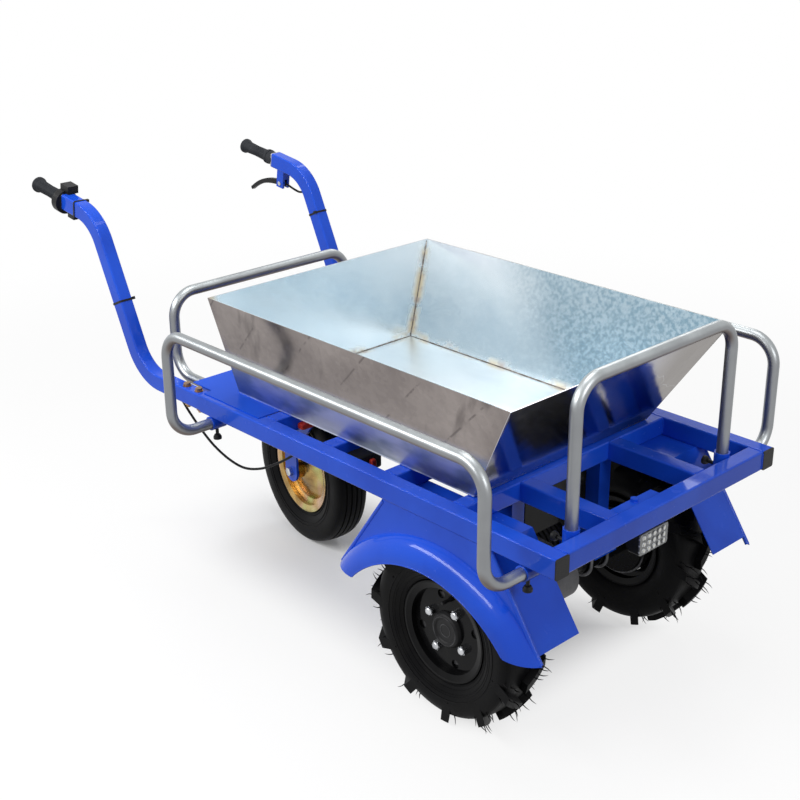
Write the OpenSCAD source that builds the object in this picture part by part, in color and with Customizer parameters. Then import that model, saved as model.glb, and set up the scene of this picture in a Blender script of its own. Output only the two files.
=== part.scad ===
// Powered three-wheel concrete buggy: tube frame, lift-out hopper, four guard hoops,
// two driven lug-tyred wheels at the front and one swivelling wheel at the rear.
// +X points forwards, +Y to the operator's left, +Z up; the ground is at zero.

/* [Frame] */
// Width over the two side rails
frame_w = 714; // [640:1:800]
// Length of the side rails
frame_l = 1105; // [1040:1:1180]
// Height of the frame's underside above the drive axle
frame_rise = 266; // [258:1:275]
// Width of the rectangular frame tube
rail_w = 38; // [34:1:42]
// Height of the rectangular frame tube
rail_h = 44; // [40:1:48]
// Wall of the rectangular frame tube
rail_wall = 2.5; // [2:0.5:4]
// Corner radius of the rectangular frame tube
rail_corner = 4; // [3.5:0.5:6]
// Distance between neighbouring cross members
cross_pitch = 199; // [190:1:204]
// Distance from the front end to the middle of the first cross member
cross_first = 280; // [270:1:290]
// Distance between the middles of the two longitudinal bearers
bearer_spacing = 286; // [270:1:310]
// Thickness of the rear deck sheet
deck_t = 2; // [1.5:0.5:4]
// Length of the rear deck sheet
deck_l = 286; // [270:1:300]
// Distance that the deck sheet reaches behind the rails
deck_tail = 76; // [66:1:84]

/* [Handles] */
// Width of the rectangular handle tube
handle_w = 34; // [30:1:38]
// Height of the rectangular handle tube
handle_h = 40; // [36:1:44]
// Straight length of a handle behind its rail
handle_run = 180; // [165:1:220]
// Middle-line radius of the handle's bends
handle_bend_r = 115; // [95:1:135]
// Angle of the handle's leaning part above the ground
handle_lean = 65; // [55:1:75]
// Rise of the handle's end towards the operator
handle_rise = 8; // [3:1:12]
// Length of the leaning part
handle_leg = 272; // [220:1:320]
// Length of the straight end of the handle
handle_end = 70; // [64:1:90]
// Diameter of the round grip stub
stub_d = 22; // [20:0.5:25]
// Length of the hand grips
grip_l = 116; // [100:1:130]
// Diameter of the grips in the middle
grip_d = 33; // [30:0.5:36]
// Diameter of the grips at their flared end
grip_flare_d = 41; // [38:0.5:46]
// Running clearance of turning pieces on their pins, per side
run_clear = 0.05; // [0.02:0.01:0.09]

/* [Guard hoops] */
// Outer diameter of the hoop tube
hoop_d = 26; // [24:0.5:28]
// Wall of the hoop tube
hoop_wall = 2; // [1.5:0.5:3]
// Middle-line radius of the hoop bends
hoop_bend_r = 60; // [50:1:70]
// Height of the side hoops' top bar above the frame
side_hoop_h = 194; // [175:1:215]
// Distance of the side hoops outside the rails
side_hoop_out = 104; // [98:1:115]
// Distance of the side hoops' front leg behind the front end
side_hoop_front = 80; // [74:1:84]
// Distance of the side hoops' rear leg in front of the rails' rear end
side_hoop_rear = 39; // [34:1:44]
// Height of the front hoop's bar above the frame
front_hoop_h = 300; // [270:1:330]
// Distance between the front hoop's legs
front_hoop_w = 494; // [470:1:520]
// Height of the rear hoop's bar above the frame
rear_hoop_h = 185; // [165:1:225]
// Gap between the rear hoop's sockets and the line of the rails' inner faces
rear_hoop_inset = 23.2; // [2:0.1:40]
// Clearance of a hoop in its socket, per side
socket_clear = 0.3; // [0.2:0.05:0.4]
// Wall of the hoop sockets
socket_wall = 3.5; // [3:0.5:5]

/* [Hopper] */
// Length of the hopper at its rim
hopper_rim_l = 931; // [890:1:950]
// Width of the hopper at its rim
hopper_rim_w = 698; // [660:1:720]
// Length of the hopper's floor
hopper_floor_l = 769; // [740:1:790]
// Width of the hopper's floor
hopper_floor_w = 561; // [520:1:590]
// Height of the hopper
hopper_h = 250; // [220:1:280]
// Thickness of the hopper's sheet
hopper_t = 2.5; // [2:0.5:4]
// Distance of the hopper's front rim behind the front end
hopper_front = 124; // [112:1:130]
// Lean of the rear wall, over its whole height
hopper_rear_lean = 8; // [4:1:14]

/* [Drive wheels] */
// Radius of a drive wheel over its lugs
wheel_r = 214; // [205:1:218]
// Distance of the axle behind the front end
axle_back = 319; // [310:1:325]
// Distance of a drive tyre's middle inside the frame's outer face
wheel_inset = 69; // [65:1:73]
// Width of a drive tyre
tyre_w = 100; // [94:1:104]
// Height of the tread lugs
lug_h = 18; // [14:0.5:21]
// Number of lugs on each side of the tread
lug_count = 11; // [9:1:13]
// Width of a tread lug
lug_w = 23; // [18:0.5:26]
// Radius of the rim's flange
rim_flange_r = 114; // [108:1:118]
// Bolt circle diameter of the wheel nuts
nut_pcd = 110; // [100:1:114]
// Diameter of the half shafts
shaft_d = 30; // [26:0.5:34]
// Outer diameter of the axle tube
axle_d = 60; // [54:1:66]

/* [Fenders] */
// Thickness of the fender sheet
fender_t = 2; // [1.5:0.5:3]
// Radius of the arch's lip
arch_r = 293; // [285:1:300]
// Depth of the arch's middle below the drive axle
arch_drop = 131; // [125:1:140]
// Height of the arch's rounded flare
flare_h = 54; // [46:1:58]
// Reach of the flare outside the fender's plate
flare_out = 34; // [28:1:42]
// Length of the fender along its top
fender_top_l = 300; // [280:1:320]
// Length of the fender along its lower edge
fender_low_l = 582; // [560:1:600]
// Depth of the fender's outer plate below the frame
fender_drop = 203; // [190:1:215]
// Width of the fender across the wheel
fender_w = 124; // [118:1:128]

/* [Rear wheel] */
// Radius of the rear wheel
caster_r = 204; // [196:1:208]
// Width of the rear tyre
caster_w = 92; // [86:1:96]
// Distance of the swivel axis in front of the rails' rear end
caster_inset = 75; // [70:1:84]
// Distance of the rear wheel's axle behind the swivel axis
caster_trail = 122; // [110:1:130]
// Turn of the rear wheel at rest
caster_turn = -8; // [-25:1:25]
// Diameter of the swivel pin
kingpin_d = 30; // [26:0.5:34]
// Diameter of the rear axle bolt
caster_axle_d = 16; // [14:0.5:18]
// Thickness of the fork's side plates
fork_t = 6; // [5:0.5:8]

/* [Hidden] */
$fn = 48;

// Finishes of the real object
blue = [0.16, 0.28, 0.78];
zinc = [0.72, 0.75, 0.77];
gold = [0.80, 0.62, 0.25];
dark = [0.10, 0.10, 0.11];
rubber = [0.07, 0.07, 0.08];
steel = [0.66, 0.67, 0.70];
brass = [0.72, 0.50, 0.26];
clear = [0.90, 0.93, 0.96];

// One overrun serves all cuts
over = 1;
// Gap between pieces that are slid together by hand
slip = 0.2;

// Frame levels and places, counted backwards from the front end of the rails
caster_room = 40;
frame_low = max(wheel_r + frame_rise, 2 * caster_r + caster_room);
frame_top = frame_low + rail_h;
frame_mid = frame_low + rail_h / 2;
rail_y = frame_w / 2 - rail_w / 2;
inside_w = frame_w - 2 * rail_w;
bearer_y = bearer_spacing / 2;
cross_rear_room = 150;
cross_count = floor((frame_l - cross_first - cross_rear_room) / cross_pitch) + 1;
cross_x = [for (i = [0 : cross_count - 1]) -cross_first - i * cross_pitch];
hopper_tail = 110;
deck_rear_x = min(-frame_l - deck_tail, -hopper_front - hopper_rim_l - hopper_tail);
caster_bearer_y = 62;
deck_lap_share = 0.6;
cap_flange = 3;
cap_depth = 16;
cap_wall = 2;

// Handle path: straight, bend up, leaning leg, bend back, rising end
handle_steps = [[0, handle_run, handle_bend_r, handle_lean],
  [0, handle_leg, handle_bend_r, handle_rise - handle_lean],
  [0, handle_end, 0, 0]];
spigot_l = 180;
spigot_wall = 4;
stub_plate_t = 4;
housing_l = 22;
grip_gap = 0.5;
grip_end_wall = 5;
grip_collar = 4;
grip_waist = 1.5;
grip_flare_l = 14;
collar_d = 38;
housing_d = 62;
housing_low = 4;
housing_block = [36, 20, 30];
housing_block_in = 4;
switch_size = [28, 14, 22];
switch_back = 46;
switch_knob_d = 12;
switch_knob_l = 12;
tie_w = 5;
tie_t = 1.5;
tie_lock = 7;
end_tie_back = 62;
right_tie_share = 0.42;
left_tie_share = 0.8;
grip_start = stub_plate_t + housing_l + grip_gap;
grip_reach = grip_start + grip_l;
stub_l = grip_reach - grip_end_wall - grip_gap;

// The origin lies below the middle of the whole length
handle_path_x = handle_run + handle_bend_r * sin(handle_lean) + handle_leg * cos(handle_lean)
  + handle_bend_r * (sin(handle_lean) - sin(handle_rise)) + handle_end * cos(handle_rise);
rear_reach = frame_l + handle_path_x + grip_reach * cos(handle_rise)
  + (grip_flare_d / 2 - grip_waist) * sin(handle_rise);
front_x = (rear_reach - cap_flange) / 2;

// Bolts that hold the handles on their spigots
bolt_d = 10;
bolt_head_d = 17;
bolt_head_h = 6.5;
bolt_washer_d = 21;
bolt_washer_t = 2;
bolt_spacing = 48;
bolt_first = 26;
bolt_tail = 12;

// Brake lever under the left handle, counted from the handle's end
lever_back = 50;
lever_post_l = 28;
lever_post_h = 50;
lever_post_w = 24;
lever_slot_h = 26;
lever_t = 10;
lever_side_gap = 0.4;
lever_pivot_back = 36;
lever_pivot_up = 12;
lever_pivot_drop = handle_h / 2 + lever_post_h - lever_pivot_up;
lever_pin_d = 6;
lever_pin_head = 2;
lever_boss_d = 20;
lever_l = 141;
lever_dip = 26;
lever_bow_share = -0.15;
lever_root_w = 16;
lever_tip_w = 11;
lever_points = 12;
lever_rest_angle = 12;

// Cables: the routes' points are counted from the handle's end and from the rails' front end
cable_hole_d = 7;
cable_slot_l = 16;
cable_exit = 104.5;
cable_entry = 764.5;
brake_hole_back = 156;
brake_hole_l = 30;
brake_cable_d = 6;
brake_route = [[-50.5, -58, 0], [-62, -58, 0], [-85, -61, 0], [-108, -62, 0],
  [-124, -58, 0], [-134, -58, 0], [-150, -58, 0]];
control_cable_d = 6;
control_route = [[-1216, -338, 488], [-1208, -338, 480], [-1180, -338, 455], [-1130, -338, 420],
  [-1080, -338, 394], [-1022, -338, 378], [-965, -338, 376], [-905, -338, 394],
  [-848, -338, 424], [-800, -338, 455], [-766, -338, 480], [-755, -338, 488]];

// Hoop sockets
socket_d = hoop_d + 2 * socket_clear + 2 * socket_wall;
side_socket_z = frame_low - socket_d / 2;
side_socket_l = rail_w;
rear_socket_z = frame_top - socket_d / 2;
rear_socket_l = deck_tail;
front_socket_top = 5;
front_socket_l = 64;
front_socket_x = -rail_w - socket_d / 2;
side_hoop_l = frame_l - side_hoop_front - side_hoop_rear;
rear_hoop_w = inside_w - 2 * rear_hoop_inset - socket_d;
rear_hoop_out = 62;
rear_hoop_stop = 4;
rear_hoop_x = deck_rear_x - hoop_bend_r - rear_hoop_out;
screw_d = 8;
screw_knob_d = 20;
screw_knob_h = 11;
screw_neck = 16;
knob_foot_share = 0.7;

// Hopper
hopper_z = frame_top + deck_t;
hopper_back_x = -hopper_front - hopper_rim_l;
hopper_floor_back_x = hopper_back_x + hopper_rear_lean;

// Drive axle
axle_z = wheel_r;
axle_x = -axle_back;
wheel_y = frame_w / 2 - wheel_inset;
hub_set = 16;
flange_t = 10;
drum_r = 82;
drum_t = 4;
drum_l = 46;
plate_gap = 2;
backplate_t = 4;
axle_tube_half = wheel_y + hub_set - flange_t - drum_l - plate_gap - backplate_t;
axle_wall = 6;
axle_bore_l = 70;
rim_lip = 13;
rim_seat_r = rim_flange_r - rim_lip;
rim_drop = 13;
rim_bed = 12;
rim_seat_in = 16;
rim_wall = 4;
disc_t = 5;
disc_face = hub_set + disc_t;
pilot_r = 28;
pilot_gap = 1;
vent_d = 20;
vent_share = 0.78;
nut_turn = 15.5;
lug_turn = -97;
nut_d = 22;
nut_h = 16;
nut_hex_h = 10;
nut_stud_d = 12;
nut_count = 4;
cap_r = 41;
cap_h = 12;
leg_w = 76;
leg_wall = 3;
saddle_t = 16;
saddle_grip = 8;
saddle_l = 104;
saddle_w = 76;
clamp_rod_d = 10;
clamp_side = 28.5;
clamp_half = axle_d / 2 + clamp_rod_d / 2 + slip;
clamp_nut_d = 17;
clamp_nut_h = 8;
clamp_tail = 6;

// Gear case and motor behind the axle
case_w = 84;
case_margin = 30;
case_step = 2;
motor_back = 112;
motor_up = 10;
motor_d = 116;
motor_l = 100;
motor_fins = 6;
motor_fin_t = 3;
motor_fin_h = 5;
motor_neck = 8;

// Tyre section: shares of the height above the bead and of the half width
bead_r = rim_seat_r + slip;
carcass_r = wheel_r - lug_h;
tyre_wall_shares = [[1, 0], [0.985, 0.5], [0.93, 0.86], [0.8, 0.985], [0.62, 1],
  [0.42, 0.95], [0.25, 0.81], [0.155, 0.68]];
bead_shares = [[0.12, 0.655], [0, 0.645], [0, 0.4], [0.12, 0.4]];
tyre_lining_shares = [[0.2, 0.56], [0.42, 0.75], [0.64, 0.81], [0.82, 0.75], [0.89, 0.5], [0.905, 0]];
bead_gap = 1.25;
lug_root_share = 0.78;
lug_crown = 7;
lug_cross = 5;
lug_lean = 44;

// Rear wheel
caster_x = -frame_l + caster_inset;
fork_side_gap = 13;
fork_gap = caster_w + 2 * fork_side_gap;
crown_t = 10;
head_plate_t = 8;
head_plate = 150;
head_tube_d = 50;
head_tube_down = 6;
race_h = 12;
race_d = 92;
race_gap = 0.3;
crown_top = frame_low - head_plate_t - race_h - race_gap;
crown_front = 48;
crown_back = 64;
fork_foot_r = 28;
fork_straight = 70;
caster_seat_r = 107;
caster_lip = 13;
caster_hub_d = 48;
caster_hub_gap = 5;
caster_dish_in = 8;
caster_dish_out = 36;
caster_nut_d = 24;
caster_nut_h = 10;
caster_spacer_d = 28;
groove_count = 4;
groove_w = 4;
groove_h = 4;
groove_pitch = 15;

// Fender
fender_inset = 7;
fender_y = frame_w / 2 - fender_inset;
flare_dip = (flare_h * flare_h - flare_out * flare_out) / (2 * flare_out);
flare_r = flare_out + flare_dip;
flap_share = 0.914;

// Batteries, controller and lamp
battery_l = 146;
battery_w = 98;
battery_h = 150;
battery_gap = 4;
battery_drop = 16;
terminal_d = 14;
terminal_h = 8;
terminal_in = 20;
tray_t = 3;
tray_drop = 6;
controller_size = [110, 190, 36];
controller_drop = 4;
controller_fins = 7;
controller_fin_h = 4;
controller_fin_t = 4;
lamp_w = 90;
lamp_h = 46;
lamp_depth = 35;
lamp_y = -56;
lamp_gap = 2;
lamp_corner = 5;
lamp_fins = 6;
lamp_fin_depth = 10;
lamp_fin_t = 4;
lens_t = 3;
led_d = 10;
led_h = 2;
led_pitch = 15;
led_columns = 5;
led_rows = 3;
bracket_t = 3;
bracket_l = 130;
bracket_shelf = 24;
bracket_drop = 26;
bracket_down = 4;

// Flat shapes
module round_rect(a, b, r) {
  square([a - 2 * r, b], center = true);
  square([a, b - 2 * r], center = true);
  for (i = [-1, 1], j = [-1, 1])
    translate([i * (a / 2 - r), j * (b / 2 - r)]) circle(r);
}

module tube_section(a, b) {
  difference() {
    round_rect(a, b, rail_corner);
    round_rect(a - 2 * rail_wall, b - 2 * rail_wall, rail_corner - rail_wall);
  }
}

module rail_section() {
  tube_section(rail_h, rail_w);
}

module hoop_section() {
  difference() {
    circle(d = hoop_d);
    circle(d = hoop_d - 2 * hoop_wall);
  }
}

// Bent tube: each step is [roll, straight length, bend radius, bend angle]
module run(l) {
  rotate([90, 0, 90]) linear_extrude(l) children();
}

module turn(r, a) {
  translate([0, sign(a) * r, 0])
    rotate([0, 0, a > 0 ? -90 : 90 + a])
      rotate_extrude(angle = abs(a)) translate([r, 0]) children();
}

module after_turn(r, a) {
  translate([0, sign(a) * r, 0]) rotate([0, 0, a]) translate([0, -sign(a) * r, 0]) children();
}

module bent(steps, i = 0) {
  s = steps[i];
  rotate([s[0], 0, 0]) {
    run(s[1]) children();
    if (s[3] != 0) translate([s[1], 0, 0]) {
      turn(s[2], s[3]) children();
      after_turn(s[2], s[3]) bent(steps, i + 1) children();
    }
  }
}

module path_end(steps, i = 0) {
  s = steps[i];
  rotate([s[0], 0, 0]) translate([s[1], 0, 0]) {
    if (s[3] != 0) after_turn(s[2], s[3]) path_end(steps, i + 1) children();
    if (s[3] == 0) children();
  }
}

// Moves a piece from the front end of the rails to the part's own origin
module placed() {
  translate([front_x, 0, 0]) children();
}

module mirrored() {
  children();
  mirror([0, 1, 0]) children();
}

// Rectangular tube along X from x0 to x1
module tube_x(x0, x1, y, z) {
  translate([x0, y, z]) rotate([0, 90, 0]) linear_extrude(x1 - x0) rail_section();
}

// Rectangular tube along Y, w long, centred
module tube_y(x, w, z) {
  translate([x, 0, z]) rotate([90, 0, 0]) linear_extrude(w, center = true)
    rotate([0, 0, 90]) rail_section();
}

// Cylinder along Y, centred at y
module cyl_y(d, l, x = 0, y = 0, z = 0) {
  translate([x, y, z]) rotate([90, 0, 0]) cylinder(d = d, h = l, center = true);
}

// Slot in the underside of the right rail or handle that the hanging cable slants through
module cable_slot(x, low) {
  translate([x, -rail_y, low + rail_wall / 2])
    cube([cable_slot_l, cable_hole_d, rail_wall + 2 * over], center = true);
}

// Frame
module side_rail() {
  tube_x(-frame_l, 0, -rail_y, frame_mid);
}

module right_side_rail() {
  color(blue) placed() difference() {
    side_rail();
    cable_slot(-cable_entry, frame_low);
  }
}

module left_side_rail() {
  color(blue) placed() mirror([0, 1, 0]) side_rail();
}

module end_beams() {
  color(blue) placed() for (x = [-rail_w / 2, -frame_l + rail_w / 2])
    tube_y(x, inside_w, frame_mid);
}

module cross_members() {
  color(blue) placed() for (x = cross_x) tube_y(x, inside_w, frame_mid);
}

module bearers() {
  half = rail_w / 2;
  color(blue) placed() mirrored() {
    tube_x(cross_x[0] + half, -rail_w, bearer_y, frame_mid);
    tube_x(cross_x[1] + half, cross_x[0] - half, bearer_y, frame_mid);
    tube_x(-frame_l + rail_w, cross_x[cross_count - 1] - half, caster_bearer_y, frame_mid);
  }
}

module rail_end_caps() {
  plug_h = rail_h - 2 * rail_wall - slip;
  plug_w = rail_w - 2 * rail_wall - slip;
  plug_r = rail_corner - rail_wall;
  color(dark) placed() mirrored() translate([0, -rail_y, frame_mid]) rotate([0, 90, 0]) {
    linear_extrude(cap_flange) round_rect(rail_h, rail_w, rail_corner);
    translate([0, 0, -cap_depth]) linear_extrude(cap_depth) difference() {
      round_rect(plug_h, plug_w, plug_r);
      square([plug_h - 2 * cap_wall, plug_w - 2 * cap_wall], center = true);
    }
  }
}

module deck_plate() {
  rail_lap = rail_w * deck_lap_share;
  color(blue) placed() translate([0, 0, frame_top]) linear_extrude(deck_t) union() {
    translate([deck_rear_x, -inside_w / 2 + slip]) square([deck_l, inside_w - 2 * slip]);
    translate([-frame_l, -inside_w / 2 - rail_lap])
      square([deck_l - deck_tail, inside_w + 2 * rail_lap]);
  }
}

// Handles
module handle_base() {
  translate([-frame_l, -rail_y, frame_mid]) rotate([90, 0, 180]) children();
}

module at_handle_end() {
  handle_base() path_end(handle_steps) children();
}

module on_handle_leg(share) {
  handle_base() translate([handle_run, 0, 0]) after_turn(handle_bend_r, handle_lean)
    translate([handle_leg * share, 0, 0]) children();
}

module bolt_places() {
  for (i = [0, 1]) translate([-frame_l - bolt_first - i * bolt_spacing, -rail_y, 0]) children();
}

module handle_tube() {
  difference() {
    handle_base() bent(handle_steps) tube_section(handle_h, handle_w);
    bolt_places() translate([0, 0, frame_low - over])
      cylinder(d = bolt_d + 2 * slip, h = rail_h + 2 * over);
  }
}

module right_handle_tube() {
  color(blue) placed() difference() {
    handle_tube();
    cable_slot(-frame_l - cable_exit, frame_mid - handle_h / 2);
  }
}

module left_handle_tube() {
  color(blue) placed() mirror([0, 1, 0]) difference() {
    handle_tube();
    at_handle_end() translate([-brake_hole_back, -lever_pivot_drop, 0])
      rotate([0, 90, 0]) cylinder(d = cable_hole_d, h = brake_hole_l);
  }
}

// Length of a spigot that fills a tube of the given outer size
module spigot_part(a, b) {
  h = a - 2 * rail_wall - slip;
  w = b - 2 * rail_wall - slip;
  linear_extrude(spigot_l / 2) difference() {
    round_rect(h, w, rail_corner - rail_wall);
    square([h - 2 * spigot_wall, w - 2 * spigot_wall], center = true);
  }
}

module handle_spigots() {
  color(blue) placed() mirrored() difference() {
    translate([-frame_l, -rail_y, frame_mid]) rotate([0, 90, 0]) {
      spigot_part(rail_h, rail_w);
      translate([0, 0, -spigot_l / 2]) spigot_part(handle_h, handle_w);
    }
    bolt_places() translate([0, 0, frame_low]) cylinder(d = bolt_d + 2 * slip, h = rail_h);
  }
}

module handle_bolts() {
  low = frame_mid - handle_h / 2;
  high = frame_mid + handle_h / 2;
  color(brass) placed() mirrored() bolt_places() {
    translate([0, 0, low - bolt_washer_t - bolt_tail])
      cylinder(d = bolt_d, h = handle_h + 2 * bolt_washer_t + bolt_tail);
    for (z = [high, low - bolt_washer_t])
      translate([0, 0, z]) cylinder(d = bolt_washer_d, h = bolt_washer_t);
    for (z = [high + bolt_washer_t, low - bolt_washer_t - bolt_head_h])
      translate([0, 0, z]) cylinder(d = bolt_head_d, h = bolt_head_h, $fn = 6);
  }
}

module tie_band() {
  run(tie_w) difference() {
    round_rect(handle_h + 2 * tie_t + slip, handle_w + 2 * tie_t + slip, rail_corner + tie_t);
    round_rect(handle_h + slip, handle_w + slip, rail_corner);
  }
  translate([0, handle_h / 2 - tie_lock, handle_w / 2 + tie_t])
    cube([tie_lock, tie_lock, tie_lock]);
}

module cable_ties() {
  color(dark) placed() {
    on_handle_leg(right_tie_share) tie_band();
    at_handle_end() translate([-end_tie_back, 0, 0]) tie_band();
    mirror([0, 1, 0]) on_handle_leg(left_tie_share) tie_band();
  }
}

module grip_stubs() {
  color(steel) placed() mirrored() at_handle_end() {
    run(stub_plate_t) round_rect(handle_h, handle_w, rail_corner);
    rotate([0, 90, 0]) cylinder(d = stub_d, h = stub_l);
  }
}

// Dark twist-throttle housing: a round clamp with a switch block on its inner shoulder
module throttle_housing() {
  color(dark) placed() at_handle_end() difference() {
    union() {
      translate([stub_plate_t, -housing_low, 0]) rotate([0, 90, 0])
        cylinder(d = housing_d, h = housing_l);
      translate([-housing_block[0] + stub_plate_t + housing_l, handle_h / 2 + grip_gap,
          -housing_block_in])
        cube(housing_block);
    }
    rotate([0, 90, 0]) cylinder(d = stub_d + 2 * slip, h = grip_reach);
  }
}

// Hand grip: a revolved barrel with a flared outer end and a collar
module grip() {
  r0 = stub_d / 2 + run_clear;
  r1 = grip_d / 2;
  rf = grip_flare_d / 2;
  rc = r1 + grip_collar;
  e = grip_l - grip_end_wall;
  translate([grip_start, 0, 0]) rotate([0, 90, 0]) rotate_extrude() polygon([
    [r0, 0], [rc, 0], [rc, grip_collar * 2], [r1, grip_collar * 3],
    [r1 - grip_waist, grip_l / 2], [r1, grip_l - grip_flare_l],
    [rf, grip_l - grip_flare_l / 2], [rf, grip_l - grip_waist],
    [rf - grip_waist, grip_l], [0, grip_l], [0, e], [r0, e]]);
}

module throttle_grip() {
  color(dark) placed() at_handle_end() grip();
}

module left_grip() {
  color(dark) placed() mirror([0, 1, 0]) at_handle_end() {
    grip();
    translate([stub_plate_t, 0, 0]) rotate([0, 90, 0]) difference() {
      cylinder(d = collar_d, h = housing_l + grip_gap);
      translate([0, 0, -over])
        cylinder(d = stub_d + 2 * run_clear, h = housing_l + grip_gap + 2 * over);
    }
  }
}

module handle_switch() {
  color(dark) placed() at_handle_end() {
    translate([-switch_back, -handle_h / 2 - switch_size[1], -switch_size[2] / 2])
      cube(switch_size);
    translate([-switch_back + switch_size[0], -handle_h / 2 - switch_size[1] / 2, 0])
      rotate([0, 90, 0]) cylinder(d = switch_knob_d, h = switch_knob_l);
  }
}

// Brake lever below the left handle
module lever_bracket() {
  color(blue) placed() mirror([0, 1, 0]) at_handle_end() difference() {
    translate([-lever_back, -handle_h / 2 - lever_post_h, -lever_post_w / 2])
      cube([lever_post_l, lever_post_h, lever_post_w]);
    translate([-lever_back - over, -handle_h / 2 - lever_post_h - over,
        -lever_t / 2 - lever_side_gap])
      cube([lever_post_l + 2 * over, lever_slot_h + over, lever_t + 2 * lever_side_gap]);
    translate([-lever_pivot_back, -lever_pivot_drop, 0])
      cylinder(d = lever_pin_d + 2 * run_clear, h = lever_post_w + 2 * over, center = true);
  }
}

module brake_lever() {
  n = lever_points;
  mid = [for (i = [0 : n]) let (u = i / n)
    [lever_l * u, -lever_dip * (sin(180 * u) * lever_bow_share + pow(u, 3))]];
  half = [for (i = [0 : n]) lever_root_w / 2 + (lever_tip_w - lever_root_w) / 2 * i / n];
  tip = [for (i = [1 : 7]) mid[n] + half[n] * [sin(180 * i / 8), cos(180 * i / 8)]];
  edge = concat([for (i = [0 : n]) mid[i] + [0, half[i]]], tip,
    [for (i = [n : -1 : 0]) mid[i] - [0, half[i]]]);
  color(dark) placed() mirror([0, 1, 0]) at_handle_end()
    translate([-lever_pivot_back, -lever_pivot_drop, 0]) rotate([0, 0, -lever_rest_angle])
      difference() {
        union() {
          cylinder(d = lever_boss_d, h = lever_t, center = true);
          linear_extrude(lever_t, center = true) polygon(edge);
        }
        cylinder(d = lever_pin_d + 2 * run_clear, h = lever_t + 2 * over, center = true);
      }
}

module lever_pivot() {
  color(steel) placed() mirror([0, 1, 0]) at_handle_end()
    translate([-lever_pivot_back, -lever_pivot_drop, 0]) {
      cylinder(d = lever_pin_d, h = lever_post_w + 2 * slip, center = true);
      for (s = [-1, 1]) translate([0, 0, s * (lever_post_w / 2 + slip + lever_pin_head / 2)])
        cylinder(d = lever_pin_d * 2, h = lever_pin_head, center = true);
    }
}

// Round cable swept along a smooth curve through its route's points
function smooth(p, i, u) =
  let (a = p[max(i - 1, 0)], b = p[i], c = p[i + 1], d = p[min(i + 2, len(p) - 1)])
  0.5 * (2 * b + (c - a) * u + (2 * a - 5 * b + 4 * c - d) * pow(u, 2)
    + (3 * b - a - 3 * c + d) * pow(u, 3));
function curve(p, k) = concat(
  [for (i = [0 : len(p) - 2], j = [0 : k - 1]) smooth(p, i, j / k)], [p[len(p) - 1]]);
function unit(v) = v / norm(v);
function heading(c, i) = unit(c[min(i + 1, len(c) - 1)] - c[max(i - 1, 0)]);

module cable(points, d, sides, k, side_dir) {
  c = curve(points, k);
  n = len(c);
  rings = [for (i = [0 : n - 1])
    let (t = heading(c, i), a = unit(cross(t, side_dir)), b = cross(t, a))
    for (j = [0 : sides - 1])
      c[i] + d / 2 * (cos(360 * j / sides) * a + sin(360 * j / sides) * b)];
  walls = [for (i = [0 : n - 2], j = [0 : sides - 1])
    let (p = i * sides + j, q = i * sides + (j + 1) % sides)
    each [[p, q, q + sides], [p, q + sides, p + sides]]];
  ends = concat([for (j = [1 : sides - 2]) [0, j + 1, j]],
    [for (j = [1 : sides - 2]) (n - 1) * sides * [1, 1, 1] + [0, j, j + 1]]);
  polyhedron(rings, [for (f = concat(walls, ends)) [f[2], f[1], f[0]]]);
}

module brake_cable() {
  color(dark) placed() mirror([0, 1, 0]) at_handle_end()
    cable(brake_route, brake_cable_d, 8, 4, [0, 0, 1]);
}

module control_cable() {
  color(dark) placed() cable(control_route, control_cable_d, 10, 4, [0, 1, 0]);
}

// Guard hoops and their sockets
module socket(l) {
  difference() {
    cylinder(d = socket_d, h = l);
    translate([0, 0, -over])
      cylinder(d = hoop_d + 2 * socket_clear, h = l + 2 * over);
    translate([0, 0, l / 2]) rotate([0, 90, 0])
      cylinder(d = screw_d + 2 * slip, h = socket_d);
  }
}

module socket_screw(l) {
  start = hoop_d / 2 + socket_clear;
  neck_end = socket_d / 2 + screw_neck;
  translate([0, 0, l / 2]) rotate([0, 90, 0]) {
    translate([0, 0, start]) cylinder(d = screw_d, h = neck_end - start);
    translate([0, 0, neck_end]) {
      cylinder(d1 = screw_knob_d * knob_foot_share, d2 = screw_knob_d, h = screw_knob_h / 2);
      translate([0, 0, screw_knob_h / 2]) cylinder(d = screw_knob_d, h = screw_knob_h / 2);
    }
  }
}

module side_socket_places() {
  for (x = [-side_hoop_front, -side_hoop_front - side_hoop_l])
    translate([x, -frame_w / 2, side_socket_z]) rotate([-90, 90, 0]) children();
}

module rear_socket_place() {
  translate([deck_rear_x, -rear_hoop_w / 2, rear_socket_z]) rotate([0, 90, 0]) children();
}

module front_socket_place() {
  translate([front_socket_x, -front_hoop_w / 2, frame_top + front_socket_top - front_socket_l])
    rotate([0, 0, 180]) children();
}

module side_hoop_sockets() {
  color(blue) placed() mirrored() side_socket_places() socket(side_socket_l);
}

module rear_hoop_sockets() {
  color(blue) placed() mirrored() rear_socket_place() socket(rear_socket_l);
}

module front_hoop_sockets() {
  color(blue) placed() mirrored() front_socket_place() socket(front_socket_l);
}

module thumb_screws() {
  color(dark) placed() mirrored() {
    side_socket_places() socket_screw(side_socket_l);
    rear_socket_place() socket_screw(rear_socket_l);
    front_socket_place() socket_screw(front_socket_l);
  }
}

module side_hoop() {
  r = hoop_bend_r;
  foot = side_socket_l + side_hoop_out - r;
  leg = side_hoop_h + frame_top - side_socket_z - 2 * r;
  translate([-side_hoop_front, -frame_w / 2 + side_socket_l, side_socket_z])
    rotate([90, 0, -90]) bent([[0, foot, r, 90], [90, leg, r, 90],
      [0, side_hoop_l - 2 * r, r, 90], [-90, leg, r, 90], [0, foot, 0, 0]]) hoop_section();
}

module right_side_hoop() {
  color(zinc) placed() side_hoop();
}

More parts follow.
